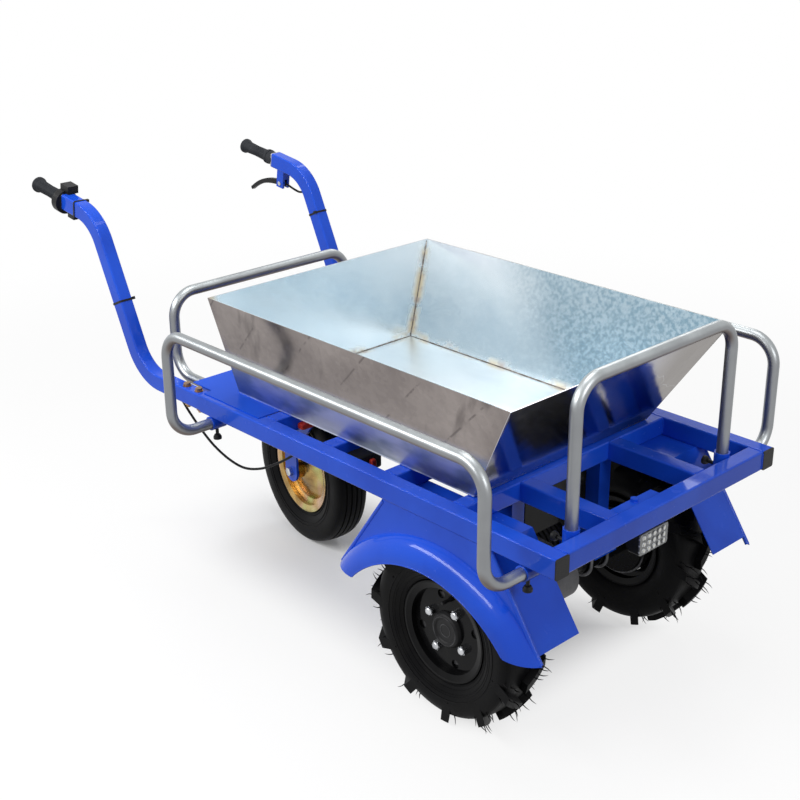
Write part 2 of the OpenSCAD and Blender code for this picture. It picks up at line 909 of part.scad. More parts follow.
module left_side_hoop() {
  color(zinc) placed() mirror([0, 1, 0]) side_hoop();
}

module rear_hoop() {
  r = hoop_bend_r;
  foot = rear_socket_l - rear_hoop_stop + deck_rear_x - rear_hoop_x - r;
  leg = rear_hoop_h + frame_top - rear_socket_z - 2 * r;
  color(zinc) placed()
    translate([deck_rear_x + rear_socket_l - rear_hoop_stop, -rear_hoop_w / 2, rear_socket_z])
      rotate([90, 0, 180]) bent([[0, foot, r, 90], [90, leg, r, 90],
        [0, rear_hoop_w - 2 * r, r, 90], [-90, leg, r, 90], [0, foot, 0, 0]]) hoop_section();
}

module front_hoop() {
  r = hoop_bend_r;
  leg = front_hoop_h + front_socket_l - front_socket_top - r;
  color(zinc) placed()
    translate([front_socket_x, -front_hoop_w / 2, frame_top + front_socket_top - front_socket_l])
      rotate([0, -90, 0]) bent([[0, leg, r, 90], [0, front_hoop_w - 2 * r, r, 90],
        [0, leg, 0, 0]]) hoop_section();
}

// Hopper: one sheet tub with a raked front and leaning sides
module tub(x0, x1, w0, z0, rx0, rx1, rw, z1) {
  polyhedron(
    [[x0, -w0, z0], [x1, -w0, z0], [x1, w0, z0], [x0, w0, z0],
      [rx0, -rw, z1], [rx1, -rw, z1], [rx1, rw, z1], [rx0, rw, z1]],
    [[0, 1, 2, 3], [4, 7, 6, 5], [0, 4, 5, 1], [1, 5, 6, 2], [2, 6, 7, 3], [3, 7, 4, 0]]);
}

module hopper() {
  t = hopper_t;
  x0 = hopper_floor_back_x;
  x1 = x0 + hopper_floor_l;
  top = hopper_z + hopper_h;
  slope = over / hopper_h;
  w0 = hopper_floor_w / 2;
  w1 = hopper_rim_w / 2;
  xr = -hopper_front;
  color(zinc) placed() difference() {
    tub(x0, x1, w0, hopper_z, hopper_back_x, xr, w1, top);
    tub(x0 + t, x1 - t, w0 - t, hopper_z + t,
      hopper_back_x + t - hopper_rear_lean * slope, xr - t + (xr - x1) * slope,
      w1 - t + (w1 - w0) * slope, top + over);
  }
}

// Fender: folded strip over the wheel, outer plate and rounded flare round the arch
module fender() {
  t = fender_t;
  a = fender_top_l / 2;
  b = fender_low_l / 2;
  lean = atan2(fender_drop, b - a);
  c = a + (b - a) * flap_share;
  low = -fender_drop * flap_share;
  inner_a = a + t / tan(lean) - t / sin(lean);
  inner_c = c - t / sin(lean);
  arch_out = arch_r + flare_h;
  arch_z = axle_z - arch_drop - frame_low;
  translate([axle_x, -fender_y, frame_low]) {
    rotate([90, 0, 0]) translate([0, 0, -fender_w]) linear_extrude(fender_w)
      polygon([[-c, low], [-a, 0], [a, 0], [c, low],
        [inner_c, low], [inner_a, -t], [-inner_a, -t], [-inner_c, low]]);
    rotate([90, 0, 0]) translate([0, 0, -t]) linear_extrude(t) difference() {
      polygon([[-b, -fender_drop], [-a, 0], [a, 0], [b, -fender_drop]]);
      translate([0, arch_z]) circle(arch_out - t, $fn = 96);
    }
    difference() {
      translate([0, 0, arch_z]) rotate([90, 0, 0]) rotate_extrude(angle = 180, $fn = 96)
        translate([arch_r, -t]) intersection() {
          translate([0, -flare_dip]) difference() {
            circle(flare_r + t);
            circle(flare_r);
          }
          square(2 * flare_h);
        }
      translate([-arch_out - 2 * t, -flare_out - 2 * t, -fender_drop - arch_out])
        cube([2 * arch_out + 4 * t, flare_out + 4 * t, arch_out]);
    }
  }
}

module right_fender() {
  color(blue) placed() fender();
}

module left_fender() {
  color(blue) placed() mirror([0, 1, 0]) fender();
}

// Drive axle
module axle_legs() {
  base = axle_z + axle_d / 2 - saddle_grip;
  color(blue) placed() mirrored() difference() {
    translate([axle_x, -bearer_y, base]) {
      translate([0, 0, saddle_t / 2]) cube([saddle_l, saddle_w, saddle_t], center = true);
      translate([0, 0, saddle_t]) linear_extrude(frame_low - base - saddle_t) difference() {
        square([leg_w, rail_w], center = true);
        square([leg_w - 2 * leg_wall, rail_w - 2 * leg_wall], center = true);
      }
    }
    cyl_y(axle_d + 2 * slip, saddle_w + 2 * over, axle_x, -bearer_y, axle_z);
    clamp_places() translate([0, 0, base - over])
      cylinder(d = clamp_rod_d + 2 * slip, h = saddle_t + 2 * over);
  }
}

module clamp_places() {
  for (i = [-1, 1], j = [-1, 1])
    translate([axle_x + i * clamp_half, -bearer_y + j * clamp_side, 0]) children();
}

module axle_clamps() {
  seat = axle_z + axle_d / 2 - saddle_grip + saddle_t;
  rod = seat + clamp_nut_h + clamp_tail - axle_z;
  color(steel) placed() mirrored() {
    for (j = [-1, 1])
      translate([axle_x + clamp_half, -bearer_y + j * clamp_side, axle_z + rod])
        rotate([90, 90, 180]) bent([[0, rod, clamp_half, 180], [0, rod, 0, 0]])
          circle(d = clamp_rod_d, $fn = 24);
    clamp_places() translate([0, 0, seat]) difference() {
      cylinder(d = clamp_nut_d, h = clamp_nut_h, $fn = 6);
      translate([0, 0, -over]) cylinder(d = clamp_rod_d, h = clamp_nut_h + 2 * over, $fn = 24);
    }
  }
}

module axle_housing() {
  color(dark) placed() difference() {
    cyl_y(axle_d, 2 * axle_tube_half, axle_x, 0, axle_z);
    cyl_y(axle_d - 2 * axle_wall, 2 * (axle_tube_half - axle_bore_l), axle_x, 0, axle_z);
    cyl_y(shaft_d + 2 * run_clear, 2 * axle_tube_half + 2 * over, axle_x, 0, axle_z);
  }
}

// Outline of two discs joined by flanks that stand just inside their common tangents
module belt(r1, r2, x, y) {
  a = atan2(y, x);
  b = acos((r1 - r2) / norm([x, y]));
  s1 = r1 - case_step;
  s2 = r2 - case_step;
  circle(r1);
  translate([x, y]) circle(r2);
  polygon([s1 * [cos(a + b), sin(a + b)], s1 * [cos(a - b), sin(a - b)],
    [x, y] + s2 * [cos(a - b), sin(a - b)], [x, y] + s2 * [cos(a + b), sin(a + b)]]);
}

module gear_case() {
  color(dark) placed() difference() {
    translate([axle_x, case_w / 2, axle_z]) rotate([90, 0, 0]) linear_extrude(case_w)
      belt(axle_d / 2 + case_margin, motor_d / 2, -motor_back, motor_up);
    cyl_y(axle_d + 2 * slip, case_w + 2 * over, axle_x, 0, axle_z);
  }
}

module drive_motor() {
  pitch = (motor_l - 2 * motor_neck) / motor_fins;
  color(dark) placed() translate([axle_x - motor_back, case_w / 2, axle_z + motor_up])
    rotate([-90, 0, 0]) {
      cylinder(d = motor_d - 2 * motor_fin_h, h = motor_l);
      for (i = [0 : motor_fins - 1]) translate([0, 0, motor_neck + i * pitch])
        cylinder(d = motor_d, h = motor_fin_t);
    }
}

module brake_backplates() {
  color(dark) placed() mirrored() difference() {
    cyl_y(2 * (drum_r - drum_t - plate_gap), backplate_t, axle_x,
      -axle_tube_half - backplate_t / 2, axle_z);
    cyl_y(shaft_d + 2 * plate_gap, backplate_t + 2 * over, axle_x,
      -axle_tube_half - backplate_t / 2, axle_z);
  }
}

// Drive wheels: local Z runs outwards along the axle, zero at the tyre's middle
module at_wheel() {
  translate([axle_x, -wheel_y, axle_z]) rotate([90, 0, 0]) children();
}

module nut_places() {
  for (i = [0 : nut_count - 1]) rotate([0, 0, nut_turn + 360 / nut_count * (i + 0.5)])
    translate([nut_pcd / 2, 0, 0]) children();
}

module hub() {
  r = shaft_d / 2;
  inner = axle_tube_half - axle_bore_l - wheel_y;
  back = hub_set - flange_t;
  lining = drum_r - drum_t;
  rotate_extrude() polygon([[0, inner], [r, inner], [r, back], [lining, back],
    [lining, back - drum_l], [drum_r, back - drum_l], [drum_r, hub_set],
    [pilot_r, hub_set], [pilot_r, disc_face - pilot_gap], [0, disc_face - pilot_gap]]);
  nut_places() translate([0, 0, back]) cylinder(d = nut_stud_d, h = flange_t + disc_t + nut_hex_h);
}

// Mirror image of an outline's points, in the opposite order
function flipped(points) =
  [for (i = [len(points) - 1 : -1 : 0]) [points[i][0], -points[i][1]]];

// Closed rim section from the outer lip to the inner lip and back along the inside
module rim_barrel(lip_r, seat_r, half) {
  w = rim_wall;
  drop_r = seat_r - rim_drop;
  edge = half - w;
  outer = [[lip_r, half], [lip_r, edge], [seat_r, edge - w / 4], [seat_r, rim_seat_in],
    [drop_r, rim_bed]];
  inner = [[drop_r - w, rim_bed + w / 2], [seat_r - w, rim_seat_in + w / 2],
    [seat_r - w, edge], [lip_r - w, half]];
  rotate_extrude($fn = 96) polygon(concat(outer, flipped(outer), flipped(inner), inner));
}

// Half width of the rim that a tyre of this half width seats in
function rim_half(half) = half * bead_shares[0][1] + bead_gap + rim_wall;

module rim() {
  vents_r = rim_seat_r * vent_share;
  difference() {
    union() {
      rim_barrel(rim_flange_r, rim_seat_r, rim_half(tyre_w / 2));
      translate([0, 0, hub_set]) cylinder(r = rim_seat_r - rim_wall / 2, h = disc_t, $fn = 96);
    }
    translate([0, 0, hub_set - over]) {
      cylinder(r = pilot_r + pilot_gap, h = disc_t + 2 * over);
      nut_places() cylinder(d = nut_stud_d + 2 * slip, h = disc_t + 2 * over);
      rotate([0, 0, 180 / nut_count]) nut_places()
        translate([vents_r - nut_pcd / 2, 0, 0]) cylinder(d = vent_d, h = disc_t + 2 * over);
    }
  }
}

function tyre_points(shares, low_r, high_r, half) =
  [for (p = shares) [low_r + (high_r - low_r) * p[0], half * p[1]]];

module tyre_body(low_r, high_r, half) {
  wall = curve(tyre_points(tyre_wall_shares, low_r, high_r, half), 3);
  bead = tyre_points(bead_shares, low_r, high_r, half);
  lining = curve(tyre_points(tyre_lining_shares, low_r, high_r, half), 2);
  top = concat(wall, bead, lining);
  low = [for (i = [len(top) - 2 : -1 : 1]) [top[i][0], -top[i][1]]];
  rotate_extrude($fn = 96) polygon(concat(top, low));
}

// Herringbone tread: slanted lugs on both shoulders, staggered by half a pitch
module lug_bars(side) {
  half = tyre_w / 2;
  root = carcass_r * lug_root_share;
  for (i = [0 : lug_count - 1])
    rotate([0, 0, lug_turn + 360 / lug_count * (i + (side < 0 ? 0.5 : 0))])
      translate([root, 0, 0]) rotate([90, 0, 90]) linear_extrude(wheel_r)
        polygon([[-lug_w / 2, -side * lug_cross], [lug_w / 2, -side * lug_cross],
          [lug_w / 2 + lug_lean, side * half], [-lug_w / 2 + lug_lean, side * half]]);
}

module lugs() {
  half = tyre_w / 2;
  n = 6;
  root = carcass_r * lug_root_share;
  crown = [for (i = [-n : n]) [wheel_r - lug_crown * pow(i / n, 2), half * i / n]];
  intersection() {
    union() for (side = [-1, 1]) lug_bars(side);
    rotate_extrude($fn = 96) polygon(concat(crown, [[root, half], [root, -half]]));
  }
}

module tyre() {
  difference() {
    union() {
      tyre_body(bead_r, carcass_r, tyre_w / 2);
      lugs();
    }
    rotate_extrude($fn = 96) tyre_hollow(bead_r, carcass_r, tyre_w / 2);
  }
}

module tyre_hollow(low_r, high_r, half) {
  lining = curve(tyre_points(tyre_lining_shares, low_r, high_r, half), 2);
  toe = tyre_points([bead_shares[3]], low_r, high_r, half);
  top = concat([[low_r, toe[0][1]]], toe, lining);
  low = [for (i = [len(top) - 2 : -1 : 0]) [top[i][0], -top[i][1]]];
  polygon(concat(top, low));
}

module wheel_nuts() {
  dome = nut_d / 2;
  nut_places() translate([0, 0, disc_face]) difference() {
    union() {
      cylinder(d = nut_d, h = nut_hex_h, $fn = 6);
      translate([0, 0, nut_hex_h]) rotate_extrude($fn = 32) intersection() {
        scale_circle(dome * cos(30), nut_h - nut_hex_h);
        square(nut_d);
      }
    }
    translate([0, 0, -over]) cylinder(d = nut_stud_d + 2 * slip, h = nut_hex_h + over + slip);
  }
}

// Ellipse quarter as an outline that a revolve can follow
module scale_circle(a, b) {
  polygon(concat([[0, 0]], [for (i = [0 : 6]) [a * cos(15 * i), b * sin(15 * i)]]));
}

module hub_cap() {
  step = cap_h / 4;
  translate([0, 0, disc_face]) rotate_extrude() polygon([[0, 0], [cap_r, 0], [cap_r, step],
    [cap_r - step, 3 * step], [cap_r - 2 * step, cap_h], [cap_r - 4 * step, cap_h],
    [cap_r - 5 * step, 3 * step], [0, 3 * step]]);
}

module right_hub() {
  color(steel) placed() at_wheel() hub();
}

module left_hub() {
  color(steel) placed() mirror([0, 1, 0]) at_wheel() hub();
}

module right_rim() {
  color(dark) placed() at_wheel() rim();
}

module left_rim() {
  color(dark) placed() mirror([0, 1, 0]) at_wheel() rim();
}

module right_tyre() {
  color(rubber) placed() at_wheel() tyre();
}

module left_tyre() {
  color(rubber) placed() mirror([0, 1, 0]) at_wheel() tyre();
}

module right_wheel_nuts() {
  color(steel) placed() at_wheel() wheel_nuts();
}

module left_wheel_nuts() {
  color(steel) placed() mirror([0, 1, 0]) at_wheel() wheel_nuts();
}

module right_hub_cap() {
  color(dark) placed() at_wheel() hub_cap();
}

module left_hub_cap() {
  color(dark) placed() mirror([0, 1, 0]) at_wheel() hub_cap();
}

// Rear swivel wheel
module caster_head() {
  bore = kingpin_d + 2 * run_clear;
  tube_top = frame_top - head_tube_down;
  color(blue) placed() translate([caster_x, 0, 0]) difference() {
    union() {
      translate([0, 0, frame_low - head_plate_t / 2])
        cube([head_plate, head_plate, head_plate_t], center = true);
      translate([0, 0, frame_low]) cylinder(d = head_tube_d, h = tube_top - frame_low);
      translate([0, 0, frame_low - head_plate_t - race_h]) cylinder(d = race_d, h = race_h);
    }
    translate([0, 0, crown_top - over]) cylinder(d = bore, h = frame_top - crown_top);
  }
}

// Local X runs forwards from the swivel axis; the wheel trails behind it
module at_fork() {
  translate([caster_x, 0, 0]) rotate([0, 0, caster_turn]) children();
}

module fork_side() {
  foot = [-caster_trail, caster_r];
  knee = foot + [0, fork_straight];
  polygon([[crown_front, crown_top], [-crown_back, crown_top], knee - [fork_foot_r, 0],
    foot - [fork_foot_r, 0], foot + [fork_foot_r, 0], knee + [fork_foot_r, 0],
    [crown_front, crown_top - 2 * crown_t]]);
  translate(foot) circle(fork_foot_r);
}

module caster_fork() {
  w = fork_gap + 2 * fork_t;
  color(blue) placed() at_fork() difference() {
    union() {
      for (s = [-1, 1]) translate([0, s * (fork_gap + fork_t) / 2 + fork_t / 2, 0])
        rotate([90, 0, 0]) linear_extrude(fork_t) fork_side();
      translate([-crown_back, -w / 2, crown_top - crown_t])
        cube([crown_front + crown_back, w, crown_t]);
      translate([0, 0, crown_top - crown_t])
        cylinder(d = kingpin_d, h = frame_top - head_tube_down - crown_top + crown_t);
    }
    cyl_y(caster_axle_d + 2 * slip, w + 2 * over, -caster_trail, 0, caster_r);
  }
}

module caster_axle() {
  half = fork_gap / 2 + fork_t;
  color(steel) placed() at_fork() translate([-caster_trail, 0, caster_r]) {
    cyl_y(caster_axle_d, 2 * (half + caster_nut_h));
    for (s = [-1, 1]) {
      translate([0, s * (half + caster_nut_h / 2), 0]) rotate([90, 0, 0])
        cylinder(d = caster_nut_d, h = caster_nut_h, center = true, $fn = 6);
      cyl_y(caster_spacer_d, caster_hub_gap - race_gap, 0,
        s * (fork_gap - caster_hub_gap + race_gap) / 2, 0);
    }
  }
}

module at_caster() {
  at_fork() translate([-caster_trail, 0, caster_r]) rotate([90, 0, 0]) children();
}

module caster_rim() {
  r_in = caster_hub_d / 2;
  r_out = caster_seat_r - rim_drop - rim_wall / 2;
  hub_half = fork_gap / 2 - caster_hub_gap;
  color(gold) placed() at_caster() difference() {
    union() {
      rim_barrel(caster_seat_r + caster_lip, caster_seat_r, rim_half(caster_w / 2));
      cylinder(d = caster_hub_d, h = 2 * hub_half, center = true);
      for (s = [0, 180]) rotate([s, 0, 0]) rotate_extrude($fn = 96)
        polygon([[r_out, caster_dish_in], [r_in, caster_dish_out],
          [r_in - rim_wall, caster_dish_out], [r_in - rim_wall, caster_dish_out - 2 * rim_wall],
          [r_in, caster_dish_out - rim_wall], [r_out, caster_dish_in - rim_wall]]);
    }
    cylinder(d = caster_axle_d + 2 * run_clear, h = 2 * hub_half + 2 * over, center = true);
  }
}

module caster_tyre() {
  color(rubber) placed() at_caster() difference() {
    tyre_body(caster_seat_r + slip, caster_r, caster_w / 2);
    for (i = [0 : groove_count - 1])
      translate([0, 0, groove_pitch * (i - (groove_count - 1) / 2)]) rotate_extrude($fn = 96)
        translate([caster_r - groove_h, -groove_w / 2]) square([2 * groove_h, groove_w]);
  }
}

// Batteries, controller and lamp
module battery_tray() {
  x0 = cross_x[1] + rail_w / 2;
  x1 = cross_x[0] - rail_w / 2;
  top = frame_top - tray_drop;
  low = frame_top - battery_drop - battery_h - tray_t;
  l = 2 * battery_w + battery_gap;
  color(dark) placed() rotate([90, 0, 0]) linear_extrude(l, center = true)
    polygon([[x0, low], [x1, low], [x1, top], [x1 - tray_t, top], [x1 - tray_t, low + tray_t],
      [x0 + tray_t, low + tray_t], [x0 + tray_t, top], [x0, top]]);
}

module battery() {
  mid = (cross_x[0] + cross_x[1]) / 2;
  top = frame_top - battery_drop;
  color(dark) placed() mirrored() translate([mid, -(battery_w + battery_gap) / 2, top]) {
    translate([0, 0, -battery_h / 2]) cube([battery_l, battery_w, battery_h], center = true);
    for (s = [-1, 1]) translate([s * (battery_l / 2 - terminal_in), 0, 0])
      cylinder(d = terminal_d, h = terminal_h, $fn = 24);
  }
}

module controller() {
  x0 = cross_x[2] + rail_w / 2;
  pitch = controller_size[1] / controller_fins;
  color(dark) placed() translate([x0, -controller_size[1] / 2, frame_top - controller_drop]) {
    translate([0, 0, -controller_size[2]]) cube(controller_size);
    for (i = [0 : controller_fins - 1])
      translate([0, pitch * (i + 0.5) - controller_fin_t / 2, -controller_size[2] - controller_fin_h])
        cube([controller_size[0], controller_fin_t, controller_fin_h]);
  }
}

module lamp_bracket() {
  top = frame_top - bracket_down;
  color(blue) placed() translate([-rail_w, lamp_y - bracket_l / 2, 0]) {
    translate([-bracket_t, 0, frame_low - bracket_drop])
      cube([bracket_t, bracket_l, top - frame_low + bracket_drop]);
    translate([-bracket_shelf, 0, top - bracket_t]) cube([bracket_shelf, bracket_l, bracket_t]);
    translate([-bracket_shelf / 2 - bracket_t, bracket_l / 2, top])
      cylinder(d = bolt_head_d, h = bolt_head_h, $fn = 6);
  }
}

module lamp_housing() {
  body = lamp_depth - lamp_fin_depth;
  pitch = lamp_w / lamp_fins;
  top = frame_low - lamp_gap;
  color(dark) placed() translate([0, lamp_y, top - lamp_h / 2]) {
    translate([-lens_t - body, 0, 0]) rotate([90, 0, 90]) linear_extrude(body)
      round_rect(lamp_w, lamp_h, lamp_corner);
    for (i = [0 : lamp_fins - 1])
      translate([-lens_t - lamp_depth, pitch * (i + 0.5) - lamp_w / 2 - lamp_fin_t / 2,
          -lamp_h / 2 + lamp_corner])
        cube([lamp_fin_depth, lamp_fin_t, lamp_h - 2 * lamp_corner]);
  }
}

module lamp_lens() {
  color(clear) placed() translate([-lens_t, lamp_y, frame_low - lamp_gap - lamp_h / 2])
    rotate([90, 0, 90]) {
      linear_extrude(lens_t) round_rect(lamp_w, lamp_h, lamp_corner);
      for (i = [0 : led_columns - 1], j = [0 : led_rows - 1])
        translate([(i - (led_columns - 1) / 2) * led_pitch, (j - (led_rows - 1) / 2) * led_pitch, lens_t])
          cylinder(d = led_d, h = led_h, $fn = 24);
    }
}

right_side_rail();
left_side_rail();
end_beams();
cross_members();
bearers();
rail_end_caps();
deck_plate();
handle_spigots();
right_handle_tube();
left_handle_tube();
handle_bolts();
cable_ties();
grip_stubs();
throttle_housing();
throttle_grip();
left_grip();
handle_switch();
lever_bracket();
brake_lever();
lever_pivot();
brake_cable();
control_cable();
side_hoop_sockets();
rear_hoop_sockets();
front_hoop_sockets();
thumb_screws();
right_side_hoop();
left_side_hoop();
rear_hoop();
front_hoop();
hopper();
right_fender();
left_fender();
axle_legs();
axle_housing();
gear_case();
drive_motor();
axle_clamps();
brake_backplates();
right_hub();
left_hub();
right_rim();
left_rim();
right_tyre();
left_tyre();
right_wheel_nuts();
left_wheel_nuts();
right_hub_cap();
left_hub_cap();
caster_head();
caster_fork();
caster_axle();
caster_rim();
caster_tyre();
battery_tray();
battery();
controller();
lamp_bracket();
lamp_housing();
lamp_lens();
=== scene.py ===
"""Looks of a powered three-wheel concrete buggy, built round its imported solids.

Lengths are in metres in the part's own frame: +X to the front, +Y to the left, +Z up, zero on the ground.
"""

from __future__ import annotations

import logging
import math
import sys
from dataclasses import dataclass, field
from enum import Enum
from typing import Any, Sequence

import bmesh
import bpy
import numpy as np
from mathutils import Matrix, Vector
from mathutils.bvhtree import BVHTree

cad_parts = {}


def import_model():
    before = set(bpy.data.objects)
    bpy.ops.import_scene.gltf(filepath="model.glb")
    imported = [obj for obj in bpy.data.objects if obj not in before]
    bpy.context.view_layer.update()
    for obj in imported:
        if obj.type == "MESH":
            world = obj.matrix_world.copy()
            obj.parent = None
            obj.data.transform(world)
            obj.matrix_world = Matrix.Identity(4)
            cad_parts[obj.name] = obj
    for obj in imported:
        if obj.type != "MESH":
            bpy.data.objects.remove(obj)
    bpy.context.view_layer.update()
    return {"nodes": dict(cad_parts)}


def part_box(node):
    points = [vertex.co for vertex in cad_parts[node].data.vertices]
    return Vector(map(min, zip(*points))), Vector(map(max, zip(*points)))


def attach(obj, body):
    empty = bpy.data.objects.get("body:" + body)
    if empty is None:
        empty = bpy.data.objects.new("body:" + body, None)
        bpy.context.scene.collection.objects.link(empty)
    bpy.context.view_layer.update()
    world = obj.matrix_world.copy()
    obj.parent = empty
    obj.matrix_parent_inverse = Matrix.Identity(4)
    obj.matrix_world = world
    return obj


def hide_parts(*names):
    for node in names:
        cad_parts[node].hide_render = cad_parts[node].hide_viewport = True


Array = np.ndarray
Pair = tuple[float, float]
Triple = tuple[float, float, float]
Numbers = tuple[float, ...]
Colour = Triple
Nodes = dict[str, bpy.types.Object]
Solids = dict["Finish", tuple[str, ...]]

log = logging.getLogger("buggy")

# The rails' front end, lower and upper faces, half the tubes' width, and the rails' inner faces.
FRONT = 0.901237
FRAME_LOW = 0.480
FRAME_TOP = 0.524
RAIL_HALF = 0.019
RAIL_INNER_Y = 0.319
FORE, ACROSS, UP = np.eye(3)
TURN = 2.0 * math.pi


def place(x: float, y: float, z: float) -> Array:
    """Point of the part whose x is counted from the rails' front end."""
    return np.array([x + FRONT, y, z])


def unit(vectors: Array) -> Array:
    """Each vector divided by its own length."""
    return vectors / np.linalg.norm(vectors, axis=-1, keepdims=True)


def flowing(route: Array, steps: int) -> Array:
    """Smooth line through a route's points.

    Each span is the cubic that passes its two ends and leaves them along the chord between their neighbours.

    Args:
        route: points of the route, one a row.
        steps: samples in each span.

    Returns:
        The points of the line, one a row.
    """
    p = np.vstack([route[:1], route, route[-1:]])
    a, b, c, d = (p[i : len(p) - 3 + i, None, :] for i in range(4))
    u = np.linspace(0.0, 1.0, steps, endpoint=False)[None, :, None]
    spans = 0.5 * (2 * b + (c - a) * u + (2 * a - 5 * b + 4 * c - d) * u**2 + (3 * b - a - 3 * c + d) * u**3)
    return np.vstack([spans.reshape(-1, 3), route[-1:]])


class Sock:
    """A shader socket that takes part in sums: each operator adds one Math node."""

    def __init__(self, shader: "Shader", socket: bpy.types.NodeSocket) -> None:
        """Keeps the socket and the shader that it belongs to."""
        self.shader, self.socket = shader, socket

    def maths(self, operation: str, first: Any, second: Any = 0.0) -> "Sock":
        """Result of a Math node on two values."""
        return self.shader.node("ShaderNodeMath", {"operation": operation}, {0: first, 1: second})

    def __add__(self, other: Any) -> "Sock":
        """Sum."""
        return self.maths("ADD", self, other)

    __radd__ = __add__

    def __sub__(self, other: Any) -> "Sock":
        """Difference."""
        return self.maths("SUBTRACT", self, other)

    def __rsub__(self, other: Any) -> "Sock":
        """Difference."""
        return self.maths("SUBTRACT", other, self)

    def __mul__(self, other: Any) -> "Sock":
        """Product."""
        return self.maths("MULTIPLY", self, other)

    __rmul__ = __mul__

    def __truediv__(self, other: Any) -> "Sock":
        """Quotient."""
        return self.maths("DIVIDE", self, other)

    def __pow__(self, other: Any) -> "Sock":
        """Power."""
        return self.maths("POWER", self, other)

    def __abs__(self) -> "Sock":
        """Size without sign."""
        return self.maths("ABSOLUTE", self)

    def most(self, other: Any) -> "Sock":
        """Larger of two values."""
        return self.maths("MAXIMUM", self, other)

    def least(self, other: Any) -> "Sock":
        """Smaller of two values."""
        return self.maths("MINIMUM", self, other)

    def off(self) -> "Sock":
        """Difference from the nearest whole number."""
        return self - self.maths("ROUND", self)


class Shader:
    """The node tree of one material, with a Principled surface."""

    def __init__(self, name: str) -> None:
        """Starts an empty tree that ends in a Principled surface."""
        self.material = bpy.data.materials.new(name)
        self.material.use_nodes = True
        self.tree = self.material.node_tree
        self.tree.nodes.clear()
        self.surface = self.tree.nodes.new("ShaderNodeBsdfPrincipled")
        self.output = self.tree.nodes.new("ShaderNodeOutputMaterial")
        self.tree.links.new(self.surface.outputs[0], self.output.inputs[0])

    @classmethod
    def on(cls, tree: bpy.types.NodeTree) -> "Shader":
        """Shader that adds nodes to a tree that is there already, such as the world's."""
        made = cls.__new__(cls)
        made.tree = tree
        return made

    def fill(self, socket: bpy.types.NodeSocket, value: Any) -> None:
        """Links a socket to another, or sets its value; a colour gets an alpha of one."""
        if isinstance(value, Sock):
            self.tree.links.new(value.socket, socket)
        elif isinstance(value, tuple) and socket.type == "RGBA":
            socket.default_value = (*value, 1.0)
        else:
            socket.default_value = value

    def node(self, kind: str, settings: dict[str, Any] | None = None, inputs: dict[Any, Any] | None = None,
             output: int | str = 0) -> Sock:
        """Adds a node.

        Args:
            kind: the node's type.
            settings: the node's own settings, set first.
            inputs: values or links of its sockets, by name or number.
            output: the output that is wanted.

        Returns:
            That output.
        """
        made = self.tree.nodes.new(kind)
        for name, value in (settings or {}).items():
            setattr(made, name, value)
        for name, value in (inputs or {}).items():
            self.fill(made.inputs[name], value)
        return Sock(self, made.outputs[output])

    def coords(self) -> Sock:
        """Object coordinates."""
        return self.node("ShaderNodeTexCoord", output="Object")

    def axes(self) -> tuple[Sock, Sock, Sock]:
        """X, Y and Z of the object coordinates."""
        split = self.node("ShaderNodeSeparateXYZ", inputs={0: self.coords()}).socket.node
        return tuple(Sock(self, o) for o in split.outputs)

    def facing(self) -> Sock:
        """How far the surface faces up in its own directions, from -1 to 1."""
        normal = self.node("ShaderNodeTexCoord", output="Normal")
        return self.node("ShaderNodeSeparateXYZ", inputs={0: normal}, output=2)

    def noise(self, scale: float, detail: float = 2.0, longer: Colour = (1.0, 1.0, 1.0),
              turn: Colour = (0.0, 0.0, 0.0)) -> Sock:
        """Soft noise from 0 to 1 on object coordinates.

        Args:
            scale: cells in a metre.
            detail: finer layers.
            longer: how much longer the cells are along each axis.
            turn: angles by which those axes are turned.

        Returns:
            The noise's value.
        """
        at = self.node("ShaderNodeMapping", {"vector_type": "TEXTURE"},
                       {"Vector": self.coords(), "Scale": longer, "Rotation": turn})
        return self.node("ShaderNodeTexNoise", inputs={"Vector": at, "Scale": scale, "Detail": detail})

    def cells(self, scale: float) -> Sock:
        """One random value for each cell of a cell pattern; the product makes a value of the cell's colour."""
        return self.node("ShaderNodeTexVoronoi", inputs={"Vector": self.coords(), "Scale": scale},
                         output="Color") * 1.0

    def span(self, value: Sock, low: float, high: float, first: float = 0.0, last: float = 1.0) -> Sock:
        """Smooth step from first, where the value is low, to last, where it is high."""
        return self.node("ShaderNodeMapRange", {"interpolation_type": "SMOOTHSTEP"},
                         {0: value, 1: low, 2: high, 3: first, 4: last})

    def mix(self, share: Any, first: Any, last: Any) -> Sock:
        """Colour between two colours."""
        return self.node("ShaderNodeMix", {"data_type": "RGBA"}, {0: share, 6: first, 7: last}, 2)

    def bump(self, height: Sock, depth: float, strength: float = 1.0) -> Sock:
        """Normal of a surface raised by a height from 0 to 1 times a depth."""
        return self.node("ShaderNodeBump", inputs={"Strength": strength, "Distance": depth, "Height": height})

    def dress(self, **sockets: Any) -> bpy.types.Material:
        """Fills the surface's sockets, named with _ for a space, and returns the material."""
        for name, value in sockets.items():
            self.fill(self.surface.inputs[name.replace("_", " ")], value)
        return self.material


@dataclass(frozen=True)
class Finish:
    """A surface finish: the record's slot that it stands for and the values that its shader starts from."""

    slot: str
    colour: Colour
    shade: Colour
    roughness: float
    name: str = ""

    def material(self) -> bpy.types.Material:
        """The finish's material, made once, under a name that the loaded frame doesn't use."""
        name = f"{self.name or self.slot}_look"
        return bpy.data.materials.get(name) or self.make(Shader(name))

    def make(self, s: Shader) -> bpy.types.Material:
        """Fills a shader; each kind of finish has its own."""
        raise NotImplementedError

    def onto(self, obj: bpy.types.Object) -> None:
        """Puts the material on an object."""
        made = self.material()
        if obj.material_slots:
            for held in obj.material_slots:
                held.material = made
        else:
            obj.data.materials.append(made)


